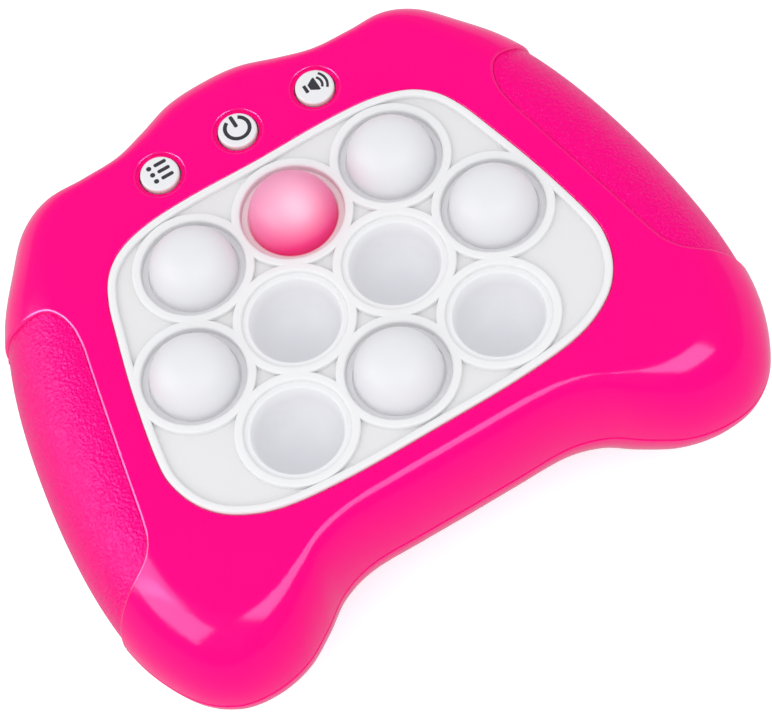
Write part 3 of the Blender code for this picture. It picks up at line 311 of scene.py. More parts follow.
# From the back middle round the right-hand side to the front middle: x as a share of the half width, y as a
# share of the reach to the back, or to the horns where it is negative.
EDGE_SHARES = (
    (0.000, 1.000), (0.117, 0.987), (0.233, 0.934), (0.335, 0.890), (0.452, 0.887),
    (0.569, 0.893), (0.663, 0.844), (0.743, 0.738), (0.837, 0.590), (0.905, 0.403),
    (0.958, 0.156), (0.993, -0.146), (1.000, -0.437), (0.975, -0.683), (0.904, -0.878),
    (0.813, -0.976), (0.707, -1.000), (0.598, -0.973), (0.503, -0.903), (0.415, -0.823),
    (0.306, -0.781), (0.146, -0.780), (0.000, -0.781),
)
FOOT_SHARES = (
    (0.000, 0.855), (0.109, 0.849), (0.219, 0.832), (0.321, 0.822), (0.437, 0.812),
    (0.510, 0.773), (0.561, 0.707), (0.598, 0.609), (0.627, 0.477), (0.656, 0.329),
    (0.678, 0.132), (0.700, -0.109), (0.714, -0.310), (0.707, -0.437), (0.671, -0.546),
    (0.620, -0.601), (0.561, -0.610), (0.496, -0.583), (0.437, -0.537), (0.379, -0.492),
    (0.292, -0.466), (0.146, -0.455), (0.000, -0.455),
)
GRIP_SHARES = (
    (1.093, 0.625), (0.933, 0.563), (0.867, 0.523), (0.797, 0.487), (0.736, 0.464),
    (0.703, 0.428), (0.685, 0.367), (0.688, 0.285), (0.705, 0.188), (0.728, 0.058),
    (0.758, -0.125), (0.780, -0.268), (0.797, -0.375), (0.814, -0.438), (0.850, -0.490),
    (0.911, -0.525), (0.991, -0.568), (1.093, -0.638),
)


def smooth_span(corners, steps):
    """Points of a smooth curve between the second and the third of four corners."""
    p, q, r, s = corners
    for step in range(steps):
        t = step / steps
        yield tuple(
            b + 0.5 * t * ((c - a) + t * ((2 * a - 5 * b + 4 * c - d) + t * (3 * (b - c) + d - a)))
            for a, b, c, d in zip(p, q, r, s)
        )


def smooth_run(points, steps):
    """Points of a smooth curve through all but the first and the last of some points, without its end."""
    spans = zip(points, points[1:], points[2:], points[3:])
    return [place for corners in spans for place in smooth_span(corners, steps)]


def smooth_line(points, steps):
    """A smooth open curve through points, ends included."""
    return [*smooth_run([points[0], *points, points[-1]], steps), tuple(points[-1])]


def outline(shares, half_width=HALF_WIDTH, back=BACK_REACH, front=HORN_REACH, steps=EDGE_STEPS):
    """The smooth closed outline of a symmetric shape, clockwise from above, from shares of its right half."""
    points = [(x * half_width, y * (back if y > 0 else front)) for x, y in shares]
    before, after = points[1], points[-2]
    half = smooth_run([(-before[0], before[1]), *points, (-after[0], after[1])], steps)
    half.append(points[-1])
    return half + [(-x, y) for x, y in reversed(half[1:-1])]


def inset(loop, distance):
    """A clockwise outline moved inwards, square to itself."""
    moved = []
    for (bx, by), (x, y), (ax, ay) in zip([loop[-1], *loop], loop, [*loop[1:], loop[0]]):
        length = math.hypot(ax - bx, ay - by)
        moved.append((x + (ay - by) / length * distance, y - (ax - bx) / length * distance))
    return moved


def lifted(loop, shift):
    return [(x, y + shift) for x, y in loop]


def at(loop, z):
    return [(x, y, z) for x, y in loop]


def spot(shares, side=1):
    """The place of a share of the half width and of the reach to the back or to the horns."""
    x, y = shares
    return side * x * HALF_WIDTH, y * (BACK_REACH if y > 0 else HORN_REACH) + MIDDLE_Y


EDGE = outline(EDGE_SHARES)
MIDDLE_Y = -(max(y for x, y in EDGE) + min(y for x, y in EDGE)) / 2
EDGE = lifted(EDGE, MIDDLE_Y)
FOOT = lifted(outline(FOOT_SHARES), MIDDLE_Y)
CASE_SCREWS = [spot(shares, side) for shares in CASE_SCREW_SHARES for side in (-1, 1)]
SPEAKER_X, SPEAKER_Y = spot(SPEAKER_SHARES)


def grip_line(side, grow):
    """The edge of a grip on one side, seen from above and clockwise."""
    line = smooth_line([spot(shares, side) for shares in GRIP_SHARES], GRIP_STEPS)
    loop = line if side < 0 else line[::-1]
    return inset(loop, -grow)


def within(loop, x, y):
    """Whether a place lies inside a closed outline."""
    crossings = 0
    for (ax, ay), (bx, by) in zip(loop, [*loop[1:], loop[0]]):
        if (ay > y) != (by > y) and x < ax + (y - ay) / (by - ay) * (bx - ax):
            crossings += 1
    return crossings % 2 == 1


# Along the grips the lower case is as narrow as they are.
GRIP_LINES = [grip_line(side, 0.0) for side in (-1, 1)]
LOWER_EDGE = [
    narrow if any(within(loop, *full) for loop in GRIP_LINES) else full
    for full, narrow in zip(EDGE, inset(EDGE, GRIP_SINK))
]


def door_loop(grow):
    """The outline of the battery door with the round ear for its screw, clockwise from above."""
    x, y, ear = DOOR_HALF_X + grow, DOOR_HALF_Y + grow, DOOR_EAR_R + grow
    loop = [(-x, BAY_Y - y), (-x, BAY_Y + y), (x, BAY_Y + y), (x, BAY_Y + ear)]
    for step in range(EAR_STEPS + 1):
        angle = math.pi * (0.5 - step / EAR_STEPS)
        loop.append((DOOR_SCREW_X + ear * math.cos(angle), BAY_Y + ear * math.sin(angle)))
    return [*loop, (x, BAY_Y - ear), (x, BAY_Y - y)]


def case_rings(line, edge_z, face, face_z, roundness, depth, levels):
    """Outlines of the rounded body from the joint to its flat face, with the skin moved in by a depth."""
    edge = inset(line, depth)
    face = inset(face, depth * CASE_DROP_SHARE)
    face_z += depth if face_z < edge_z else -depth
    lip = JOINT_ROUND if face_z > edge_z else -JOINT_ROUND
    rings = [at(inset(edge, 0.0 if depth else JOINT_ROUND), edge_z), at(edge, edge_z + lip)]
    for level in range(1, levels + 1):
        angle = math.pi / 2 * level / levels
        out, rise = abs(math.cos(angle)) ** (2 / roundness), math.sin(angle) ** (2 / roundness)
        rings.append([
            (fx + (ex - fx) * out, fy + (ey - fy) * out, edge_z + (face_z - edge_z) * rise)
            for (ex, ey), (fx, fy) in zip(edge, face)
        ])
    return rings


def lower_rings(depth, levels=OUTER_LEVELS):
    return case_rings(LOWER_EDGE, JOINT_Z - JOINT_GAP / 2, FOOT, 0.0, LOWER_ROUNDNESS, depth, levels)


def past_joint(rings, way):
    """The same body, carried past the joint, so that it cuts the shell open there."""
    return [[(x, y, z + way * OVERRUN) for x, y, z in rings[0]], *rings]


def start(name):
    """Names the active piece and opens it for editing, all selected."""
    piece = bpy.context.object
    piece.name = name
    bpy.ops.object.mode_set(mode="EDIT")
    bpy.ops.mesh.select_all(action="SELECT")
    return piece


def stop(piece):
    bpy.ops.object.mode_set(mode="OBJECT")
    return piece


def alone(piece):
    """Selects one piece and nothing else."""
    deselect()
    piece.select_set(True)
    bpy.context.view_layer.objects.active = piece
    return piece


def wrapped(name, rings):
    """A grid whose rows are wrapped round the rings, seamed, and capped flat at both ends."""
    deselect()
    bpy.ops.mesh.primitive_grid_add(x_subdivisions=len(rings[0]), y_subdivisions=len(rings) - 1)
    grid = bpy.context.object.data
    places = [value for ring in rings for place in [*ring, ring[0]] for value in place]
    grid.vertices.foreach_set("co", places)
    piece = start(name)
    bpy.ops.mesh.remove_doubles(threshold=MERGE)
    bpy.ops.mesh.fill_holes(sides=0)
    bpy.ops.mesh.normals_make_consistent(inside=False)
    return stop(piece)


def cylinder(name, x, y, low, high, radius, sides=32):
    deselect()
    bpy.ops.mesh.primitive_cylinder_add(
        vertices=sides, radius=radius, depth=high - low, location=(x, y, (low + high) / 2)
    )
    return placed(name)


def cylinders(name, places, low, high, radius, sides=32):
    return [cylinder(name, x, y, low, high, radius, sides) for x, y in places]


def block(name, low, high):
    deselect()
    bpy.ops.mesh.primitive_cube_add(size=1.0, location=[(a + b) / 2 for a, b in zip(low, high)])
    bpy.context.object.scale = [b - a for a, b in zip(low, high)]
    return placed(name)


def turned(name, profile, x, y, sides=64):
    """A profile of (radius, z) from the top of the axis to its bottom, spun round the axis."""
    deselect()
    bpy.ops.mesh.primitive_grid_add(x_subdivisions=1, y_subdivisions=len(profile) - 1)
    edge = bpy.context.object.data
    edge.vertices.foreach_set("co", [value for r, z in profile for value in (x + r, y, z) * 2])
    piece = start(name)
    bpy.ops.mesh.remove_doubles(threshold=MERGE)
    bpy.ops.mesh.delete(type="ONLY_FACE")
    bpy.ops.mesh.select_all(action="SELECT")
    bpy.ops.mesh.spin(steps=sides, angle=2 * math.pi, center=(x, y, 0.0), axis=(0.0, 0.0, 1.0))
    bpy.ops.mesh.select_all(action="SELECT")
    bpy.ops.mesh.remove_doubles(threshold=MERGE)
    bpy.ops.mesh.normals_make_consistent(inside=False)
    return stop(piece)


def combine(piece, operation, *tools):
    """Joins, cuts or intersects a piece with tools, which are used up."""
    for tool in tools:
        modifier = piece.modifiers.new(tool.name, "BOOLEAN")
        modifier.operation = operation
        modifier.solver = "EXACT"
        modifier.object = tool
        alone(piece)
        bpy.ops.object.modifier_apply(modifier=modifier.name)
        bpy.data.objects.remove(tool)
    return piece


def joined(*pieces):
    """Several pieces that don't touch, as one."""
    alone(pieces[0])
    for piece in pieces[1:]:
        piece.select_set(True)
    bpy.ops.object.join()
    return pieces[0]


def rounded_box(half_x, half_y, radius, x=0.0, y=0.0, steps=8):
    """The outline of a rectangle with rounded corners, clockwise from above."""
    loop = []
    for corner, (side_x, side_y) in enumerate(((1, 1), (1, -1), (-1, -1), (-1, 1))):
        for step in range(steps + 1):
            angle = math.pi / 2 * (1 - corner - step / steps)
            loop.append((
                x + side_x * (half_x - radius) + radius * math.cos(angle),
                y + side_y * (half_y - radius) + radius * math.sin(angle),
            ))
    return loop


def slab(name, loop, low, high, soft_low=0.0, soft_high=0.0):
    """A flat plate with an outline, its lower and upper edges chamfered by a little if wanted."""
    rings = [at(inset(loop, soft_low), low), at(loop, low + soft_low)]
    rings += [at(loop, high - soft_high), at(inset(loop, soft_high), high)]
    if not soft_low:
        rings.pop(0)
    if not soft_high:
        rings.pop()
    return wrapped(name, rings)


def shade(piece, angle=30):
    """Smooth where it is round, sharp at its corners."""
    alone(piece)
    bpy.ops.object.shade_smooth_by_angle(angle=math.radians(angle))
    return piece


def settle(piece, shader, body, slot, *stood_for):
    """Gives a finished piece its material and its body, and hides the CAD nodes that it stands for. The slot
    is not used.
    """
    dress(piece, shader)
    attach(piece, body)
    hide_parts(*stood_for)


def pink_plastic(name, shine):
    """Glossy pink plastic, a little uneven in its gloss."""
    made = Shader(name)
    point = made.place()
    sheen = made.noise(point, 60.0)
    made.set(
        Base_Color=made.mix(sheen, PINK, PINK_SHADE),
        Roughness=sheen * 0.04 + 0.12,
        Normal=made.bump(made.noise(point, 2600.0), 0.10),
        Specular_IOR_Level=shine, Specular_Tint=(1.0, 0.5, 1.0, 1.0),
    )
    return made


pink = pink_plastic("pink_gloss", 0.25)

lower_case = wrapped("lower_case", lower_rings(0.0))
combine(lower_case, "DIFFERENCE", wrapped("lower_hollow", past_joint(lower_rings(WALL, INNER_LEVELS), 1)))
bosses = joined(
    cylinder("speaker_boss", SPEAKER_X, SPEAKER_Y, 0.0, SPEAKER_TOP_Z, SPEAKER_BOSS_R, WIDE_SIDES),
    cylinder("door_boss", DOOR_SCREW_X, BAY_Y, 0.0, DOOR_BOSS_Z, DOOR_BOSS_R),
    *cylinders("screw_boss", CASE_SCREWS, 0.0, JOINT_Z - JOINT_GAP / 2, CASE_BOSS_R),
)
combine(bosses, "INTERSECT", wrapped("lower_core", past_joint(lower_rings(WALL / 2, INNER_LEVELS), 1)))
bay = block(
    "bay_box", (-BAY_HALF_X - BAY_WALL, BAY_Y - BAY_HALF_Y - BAY_WALL, WALL / 2),
    (BAY_HALF_X + BAY_WALL, BAY_Y + BAY_HALF_Y + BAY_WALL, BAY_TOP_Z + BAY_WALL),
)
combine(lower_case, "UNION", bosses, bay)

bay_room = block(
    "bay_room", (-BAY_HALF_X, BAY_Y - BAY_HALF_Y, -OVERRUN), (BAY_HALF_X, BAY_Y + BAY_HALF_Y, BAY_TOP_Z)
)
press_loop = rounded_box(PRESS_HALF_X + GAP, PRESS_HALF_Y + GAP, PRESS_CORNER_R, y=MIDDLE_Y)
press_opening = slab("press_opening", press_loop, -OVERRUN, WALL + OVERRUN)
counterbores = cylinders("counterbore", CASE_SCREWS, -OVERRUN, SCREW_SEAT_Z, SCREW_HEAD_R + GAP)
combine(lower_case, "DIFFERENCE", joined(bay_room, press_opening, *counterbores))

door_opening = slab("door_opening", door_loop(GAP), -OVERRUN, DOOR_TOP_Z + GAP)
bore_low = SCREW_SEAT_Z - OVERRUN / 2
bores = cylinders("bore", CASE_SCREWS, bore_low, JOINT_Z + OVERRUN, SCREW_R + GAP, BORE_SIDES)
channel = cylinder("sound_channel", SPEAKER_X, SPEAKER_Y, CHANNEL_Z, SPEAKER_Z, CHANNEL_R, WIDE_SIDES)
combine(lower_case, "DIFFERENCE", joined(door_opening, channel, *bores))

pocket_profile = [
    (0.0, DOOR_SCREW_TIP_Z + GAP), (SCREW_R + GAP, DOOR_SCREW_TIP_Z + GAP), (SCREW_R + GAP, DOOR_PAD_Z + GAP),
    (DOOR_EAR_R + GAP / 2, DOOR_PAD_Z + GAP), (DOOR_EAR_R + GAP / 2, -OVERRUN), (0.0, -OVERRUN),
]
openings = [turned("door_screw_pocket", pocket_profile, DOOR_SCREW_X, BAY_Y, POCKET_SIDES)]
for y in DOOR_TAB_YS:
    openings.append(block(
        "tab_slot",
        (-DOOR_HALF_X - DOOR_TAB - GAP, y - DOOR_TAB_HALF_Y - GAP, DOOR_TOP_Z - DOOR_TAB_HEIGHT - GAP),
        (-BAY_HALF_X + MERGE, y + DOOR_TAB_HALF_Y + GAP, WALL + OVERRUN),
    ))
seat_top = SPEAKER_TOP_Z + OVERRUN
openings.append(cylinder(
    "speaker_seat", SPEAKER_X, SPEAKER_Y, SPEAKER_Z - GAP, seat_top, SPEAKER_R + GAP, WIDE_SIDES
))
sound_places = [(SPEAKER_X, SPEAKER_Y)]
for hole in range(SOUND_HOLES):
    angle = 2 * math.pi * hole / SOUND_HOLES
    across, along = SOUND_RING_R * math.cos(angle), SOUND_RING_R * math.sin(angle)
    sound_places.append((SPEAKER_X + across, SPEAKER_Y + along))
hole_top = CHANNEL_Z + OVERRUN / 2
openings += cylinders("sound_hole", sound_places, -OVERRUN, hole_top, SOUND_HOLE_R, PIN_SIDES)
combine(lower_case, "DIFFERENCE", joined(*openings))
shade(lower_case)
settle(lower_case, pink, "case", "pink_shell", "bottom_shell")


# Upper case
# A glossy pink plastic moulding, almost flat on top, with an opening for the bubble pad, three dished button
# holes and a pocket for each side grip. Six screws from below hold it to the lower case.

UPPER_ROUNDNESS = 2.0
PAD_HALF_WIDTH = 0.0464
PAD_BACK = 0.0338
PAD_FRONT = 0.0336
PAD_RIM_ROUND = 0.0005
PAD_STEPS = 10
ROUND_STEPS = 6
BUTTON_PITCH = 0.0171
BUTTON_XS = (-BUTTON_PITCH, 0.0, BUTTON_PITCH)
BUTTON_Y = 0.03845
BUTTON_R = 0.0038
BUTTON_POSTS = ((-BUTTON_PITCH / 2, BUTTON_Y), (BUTTON_PITCH / 2, BUTTON_Y))
BUTTON_POST_R = 0.0020
BUTTON_PIN_R = 0.0009
BUTTON_PIN_Z = 0.0261
BUTTON_BOARD_Z = 0.0285
SCREW_TIP_Z = 0.0250
DISH_R = 0.0046
DISH_DEPTH = 0.0005
DISH_RIM_R = 0.00035
DISH_EDGE_R = 0.0051
GRIP_THICKNESS = 0.0011
GRIP_RIM_R = 0.0006
GRIP_RIM_STEP = 0.0008
GRIP_RIM_STEPS = 8
GRIP_RIM_LIFT = 0.0007

SHOULDER_SHARES = (
    (0.000, 0.839), (0.109, 0.831), (0.211, 0.799), (0.306, 0.780), (0.408, 0.770),
    (0.496, 0.757), (0.561, 0.707), (0.612, 0.625), (0.656, 0.510), (0.685, 0.362),
    (0.722, 0.148), (0.758, -0.128), (0.787, -0.383), (0.787, -0.565), (0.751, -0.701),
    (0.700, -0.774), (0.634, -0.794), (0.561, -0.780), (0.481, -0.740), (0.401, -0.699),
    (0.299, -0.674), (0.146, -0.667), (0.000, -0.667),
)
PAD_SHARES = (
    (0.000, 0.994), (0.302, 1.000), (0.517, 0.982), (0.668, 0.923), (0.767, 0.817),
    (0.828, 0.663), (0.875, 0.444), (0.940, 0.089), (0.996, -0.327), (0.996, -0.521),
    (0.944, -0.708), (0.841, -0.851), (0.668, -0.952), (0.388, -0.994), (0.000, -1.000),
)
SHOULDER = lifted(outline(SHOULDER_SHARES), MIDDLE_Y)
PAD = lifted(outline(PAD_SHARES, PAD_HALF_WIDTH, PAD_BACK, PAD_FRONT, PAD_STEPS), MIDDLE_Y)


def upper_rings(depth, levels=OUTER_LEVELS):
    return case_rings(EDGE, JOINT_Z + JOINT_GAP / 2, SHOULDER, FACE_Z, UPPER_ROUNDNESS, depth, levels)


def grip_prism(name, side, grow, low):
    loop = grip_line(side, grow)
    return wrapped(name, [at(loop, low), at(loop, FACE_Z + OVERRUN)])


def quarter_round(place, top, radius, way, steps):
    """The rounded top corner of a wall, as (place, z) from below. Way points from the place into the wall."""
    angles = [math.pi / 2 * step / steps for step in range(steps + 1)]
    return [(place + way * radius * (1 - math.cos(a)), top - radius * (1 - math.sin(a))) for a in angles]


def stepped(loop, profile):
    """Outlines that follow a profile of (reach past the loop, z)."""
    return [at(inset(loop, -reach), z) for reach, z in profile]


upper_case = wrapped("upper_case", upper_rings(0.0))
combine(upper_case, "DIFFERENCE", wrapped("upper_hollow", past_joint(upper_rings(WALL, INNER_LEVELS), -1)))
bosses = joined(
    *cylinders("screw_boss", CASE_SCREWS, JOINT_Z + JOINT_GAP / 2, FACE_Z, CASE_BOSS_R),
    *cylinders("board_post", BUTTON_POSTS, BUTTON_BOARD_Z + GAP, FACE_Z, BUTTON_POST_R),
)
combine(bosses, "INTERSECT", wrapped("upper_core", past_joint(upper_rings(WALL / 2, INNER_LEVELS), -1)))
combine(bosses, "UNION", joined(
    *cylinders("board_pin", BUTTON_POSTS, BUTTON_PIN_Z, BUTTON_BOARD_Z + OVERRUN, BUTTON_PIN_R, PIN_SIDES)
))
combine(upper_case, "UNION", bosses)

rim_rings = stepped(PAD, [
    (0.0, FACE_Z - WALL - OVERRUN), *quarter_round(0.0, FACE_Z, PAD_RIM_ROUND, 1, ROUND_STEPS),
    (PAD_RIM_ROUND, FACE_Z + OVERRUN),
])
dish_profile = [
    (0.0, FACE_Z + OVERRUN), (DISH_EDGE_R, FACE_Z + OVERRUN), (DISH_EDGE_R, FACE_Z - DISH_RIM_R),
    (DISH_R, FACE_Z - DISH_DEPTH), (BUTTON_R + GAP, FACE_Z - DISH_DEPTH),
    (BUTTON_R + GAP, FACE_Z - WALL - OVERRUN), (0.0, FACE_Z - WALL - OVERRUN),
]
dishes = [turned("button_dish", dish_profile, x, BUTTON_Y) for x in BUTTON_XS]
thread_top = SCREW_TIP_Z + OVERRUN
threads = cylinders("thread", CASE_SCREWS, JOINT_Z - OVERRUN, thread_top, SCREW_R + GAP, BORE_SIDES)
combine(upper_case, "DIFFERENCE", joined(wrapped("pad_opening", rim_rings), *dishes, *threads))
for side in (-1, 1):
    for grow, depth in ((GAP, GRIP_SINK + GRIP_THICKNESS + GAP), (GAP + GRIP_RIM_R, GRIP_RIM_R)):
        pocket = grip_prism("grip_pocket", side, grow, JOINT_Z - OVERRUN)
        floor_rings = past_joint(past_joint(upper_rings(depth), -1), -1)
        combine(pocket, "DIFFERENCE", wrapped("pocket_floor", floor_rings))
        combine(upper_case, "DIFFERENCE", pocket)
shade(upper_case)
settle(upper_case, pink, "case", "pink_shell", "top_shell")


def rim_bead(side):
    """The rounded rim of a grip pocket, which lies in the notch along its edge."""
    guide = wrapped("rim_guide", upper_rings(0.0))
    rim_low = JOINT_Z + GRIP_RIM_LIFT
    places = []
    for x, y in smooth_line(grip_line(side, GAP + GRIP_RIM_R), GRIP_RIM_STEPS):
        hit, place, normal, face = guide.ray_cast(Vector((x, y, FACE_Z + OVERRUN)), Vector((0.0, 0.0, -1.0)))
        place -= normal * GRIP_RIM_R
        if hit and place.z > rim_low and (not places or (place - places[-1]).length > GRIP_RIM_STEP):
            places.append(place)
    bpy.data.objects.remove(guide)
    line = bpy.data.curves.new("rim_line", "CURVE")
    line.dimensions = "3D"
    line.bevel_depth = GRIP_RIM_R
    line.bevel_resolution = 3
    line.use_fill_caps = True
    spline = line.splines.new("POLY")
    spline.points.add(len(places) - 1)
    for point, place in zip(spline.points, places):
        point.co = (*place, 1.0)
    bead = bpy.data.objects.new("grip_rim", line)
    bpy.context.scene.collection.objects.link(bead)
    alone(bead)
    bpy.ops.object.convert(target="MESH")
    return bpy.context.object


rim_gloss = pink_plastic("pink_rim_gloss", 0.95)
for side, name in ((-1, "left_rim"), (1, "right_rim")):
    rim = rim_bead(side)
    rim.name = name
    shade(rim, 60)
    settle(rim, rim_gloss, "case", "pink_shell", "top_shell")
dish_rims = []
for x in BUTTON_XS:
    deselect()
    bpy.ops.mesh.primitive_torus_add(
        location=(x, BUTTON_Y, FACE_Z - DISH_RIM_R), major_radius=DISH_EDGE_R, minor_radius=DISH_RIM_R,
        major_segments=72, minor_segments=24,
    )
    dish_rims.append(placed("dish_rim"))
rims = joined(*dish_rims)
rims.name = "dish_rims"
shade(rims)
settle(rims, rim_gloss, "case", "pink_shell", "top_shell")


# Side grips
# Two thin panels of the same pink plastic, with a leather grain moulded into the outer face. Each is pressed
# into its pocket in the side of the upper case.

GRIP_FIT = 0.00005
LEATHER_DRIFT = 0.0005
LEATHER_DEPTH = 0.0003
LEATHER_SHADE = (0.95, 0.0, 0.215, 1.0)

leather = Shader("pink_leather_grain")
leather_point = leather.place()
drift = leather.noise(leather_point, 1200.0)
leather_spot = leather.node(
    "ShaderNodeVectorMath", {"operation": "MULTIPLY_ADD"}, drift, (LEATHER_DRIFT,) * 3, leather_point
)
leather_cells = leather.node(
    "ShaderNodeTexVoronoi", {"feature": "SMOOTH_F1"}, Vector=leather_spot, Scale=1800.0, Smoothness=0.5
)
leather_height = leather_cells * 0.9 + leather.noise(leather_point, 2600.0) * 0.35
leather.set(
    Base_Color=leather.mix(leather_height, PINK, LEATHER_SHADE),
    Roughness=leather_height * 0.10 + 0.17,
    Normal=leather.bump(leather_height, 0.80, LEATHER_DEPTH),
    Specular_IOR_Level=0.20, Specular_Tint=(1.0, 0.25, 1.0, 1.0),
)
for side, name in ((-1, "left_grip"), (1, "right_grip")):
    grip = wrapped("grained_" + name, upper_rings(GRIP_SINK))
    combine(grip, "DIFFERENCE", wrapped("grip_back", past_joint(upper_rings(GRIP_SINK + GRIP_THICKNESS), -1)))
    combine(grip, "INTERSECT", grip_prism("grip_region", side, GAP - GRIP_FIT, JOINT_Z - OVERRUN))
    shade(grip)
    settle(grip, leather, "case", "pink_grip", name)


# Bubble pad
# One sheet of white silicone, held under the case: a rounded border, a sunk floor, and ten rings whose
# walls run into each other where they meet.

RIM_Z = 0.0380
PAD_FLOOR_Z = 0.0362
SHEET_TOP_Z = 0.0368
PAD_BOTTOM_Z = 0.0340
PAD_BORDER = 0.0016
PAD_FIT = 0.00005
COLOUR_EDGE = 0.0001
FLANGE_REACH = 0.0013
BUBBLE_SPACING = 0.0215
ROW_SPACING = 0.01993
RING_OUTER_R = 0.0118
RING_TOP_OUTER_R = 0.01165
RING_TOP_INNER_R = 0.0099
RING_INNER_R = 0.0098
RING_OUTER_ROUND = 0.0003
RING_ROUND = 0.0005
RING_STEPS = 5
RING_SIDES = 96
BUBBLE_R = 0.0084
BUBBLE_CLEARANCE = 0.00035
BUBBLE_SHARES = (
    (-1.0, 1), (0.0, 1), (1.0, 1),
    (-1.5, 0), (-0.5, 0), (0.5, 0), (1.5, 0),
    (-1.0, -1), (0.0, -1), (1.0, -1),
)
BUBBLE_PLACES = [(column * BUBBLE_SPACING, row * ROW_SPACING + MIDDLE_Y) for column, row in BUBBLE_SHARES]

silicone = Shader("white_silicone")
silicone_point = silicone.place()
silicone_cloud = silicone.noise(silicone_point, 60.0)
# Painted shade: the sunk floor of the sheet is painted darker and a little warmer than the tops of its rings
# and border, graded up the ring walls.
sheet_painted_shade = silicone.ramp(
    silicone.split(silicone_point)[2], SHEET_TOP_Z + COLOUR_EDGE, RIM_Z - 2 * COLOUR_EDGE
)
silicone.set(
    Base_Color=silicone.mix(sheet_painted_shade, (0.765, 0.76, 0.76, 1.0), (0.82, 0.82, 0.825, 1.0)),
    Roughness=silicone_cloud * 0.1 + 0.45,
    Normal=silicone.bump(silicone.noise(silicone_point, 1500.0), 0.08),
    Specular_IOR_Level=0.15,
)

border = inset(PAD, PAD_FIT)
flange = inset(PAD, -FLANGE_REACH)
flange_top = FACE_Z - WALL - GAP
border_rings = stepped(border, [
    (0.0, flange_top), *quarter_round(0.0, RIM_Z, RING_ROUND, -1, RING_STEPS),
    *quarter_round(-PAD_BORDER, RIM_Z, RING_ROUND, 1, RING_STEPS)[::-1], (-PAD_BORDER, SHEET_TOP_Z),
])
pad = wrapped("silicone_pad", [at(flange, PAD_BOTTOM_Z), at(flange, flange_top), *border_rings])
ring = [(0.0, RIM_Z), *quarter_round(RING_TOP_OUTER_R, RIM_Z, RING_OUTER_ROUND, -1, RING_STEPS)[::-1]]
ring += [(RING_OUTER_R, PAD_FLOOR_Z - GAP), (RING_OUTER_R, PAD_BOTTOM_Z + GAP), (0.0, PAD_BOTTOM_Z + GAP)]
for x, y in BUBBLE_PLACES:
    combine(pad, "UNION", turned("ring", ring, x, y, RING_SIDES))
well = [(0.0, RIM_Z + OVERRUN), (RING_TOP_INNER_R + RING_ROUND, RIM_Z + OVERRUN)]
well += quarter_round(RING_TOP_INNER_R, RIM_Z, RING_ROUND, 1, RING_STEPS)[::-1]
well += [(RING_INNER_R, PAD_FLOOR_Z), (BUBBLE_R + BUBBLE_CLEARANCE, PAD_FLOOR_Z)]
well += [(BUBBLE_R + BUBBLE_CLEARANCE, PAD_BOTTOM_Z - OVERRUN), (0.0, PAD_BOTTOM_Z - OVERRUN)]
combine(pad, "DIFFERENCE", joined(*[turned("well", well, x, y, RING_SIDES) for x, y in BUBBLE_PLACES]))
shade(pad)
settle(pad, silicone, "case", "white_silicone", "bubble_pad")


# Bubbles
# Ten round silicone skins that turn inside out through their rim when a finger pops them in. Six stand out,
# four are popped in, and the second in the back row is lit pink from below.

POPPED_IN = (5, 6, 8, 10)
LIT_UP = 2
BUBBLE_HEIGHT = 0.0080
BUBBLE_SKIN = 0.0009
BUBBLE_ROUNDNESS = 2.4
BUBBLE_LEVELS = 28
FLANGE_SINK = 0.0003
CREASE_FADE = 0.0007
LIT_FADE = 0.0003
GLOW_OFFSET = 0.0024
GLOW_Z = 0.0415
GLOW_REACH = 0.0074
GLOW_TINT_LEAN = 0.8
GLOW_TINT_LOW = 0.004
GLOW_TINT_HIGH = 0.010

# The skin round a standing bubble and the lip of a popped one, as (radius, height over the sheet's floor)
DOME_CREASE = (
    (0.00846, -0.00022), (0.00864, -0.00024), (0.00874, 0.00002), (0.00930, 0.00008), (0.01010, 0.00012),
    (0.01010, -0.00030),
)
BOWL_LIP = (
    (0.00832, -0.00060), (0.00845, 0.00000), (0.00858, 0.00045), (0.00872, 0.00078), (0.00888, 0.00094),
    (0.00905, 0.00096), (0.00925, 0.00090), (0.00950, 0.00086), (0.01010, 0.00084), (0.01010, -0.00030),
)
BOWL_INNER_R = 0.0082
BOWL_OUTER_R = 0.0086


def dome(radius, height):
    """A rounded cap as (radius, z), from its top to its rim."""
    slope = 2 / BUBBLE_ROUNDNESS
    angles = [math.pi / 2 * level / BUBBLE_LEVELS for level in range(BUBBLE_LEVELS)]
    return [(radius * math.sin(a) ** slope, height * math.cos(a) ** slope) for a in angles] + [(radius, 0.0)]


def skin_painted_by_height(name, low_z, high_z, low, high, shine):
    """Silicone whose colour changes with the height: painted light and shade on the skin."""
    made = Shader(name)
    point = made.place()
    made.set(
        Base_Color=made.mix(made.ramp(made.split(point)[2], low_z, high_z), low, high),
        Roughness=0.5, Specular_IOR_Level=shine, Normal=made.bump(made.noise(point, 1500.0), 0.06),
    )
    return made


# Painted light: the crease and flange round a standing bubble are painted a little lighter than the dome,
# lifting the shade in the crease.
dome_skin = skin_painted_by_height(
    "dome_silicone", PAD_FLOOR_Z - COLOUR_EDGE, PAD_FLOOR_Z + CREASE_FADE,
    (0.80, 0.79, 0.81, 1.0), (0.77, 0.77, 0.79, 1.0), 0.12,
)
# Painted shade: a popped bubble's bowl is painted darker and bluer towards its bottom and lighter at its lip.
bowl_skin = skin_painted_by_height(
    "bowl_silicone", PAD_FLOOR_Z - BUBBLE_HEIGHT, PAD_FLOOR_Z,
    (0.74, 0.735, 0.77, 1.0), (0.84, 0.84, 0.85, 1.0), 0.1,
)
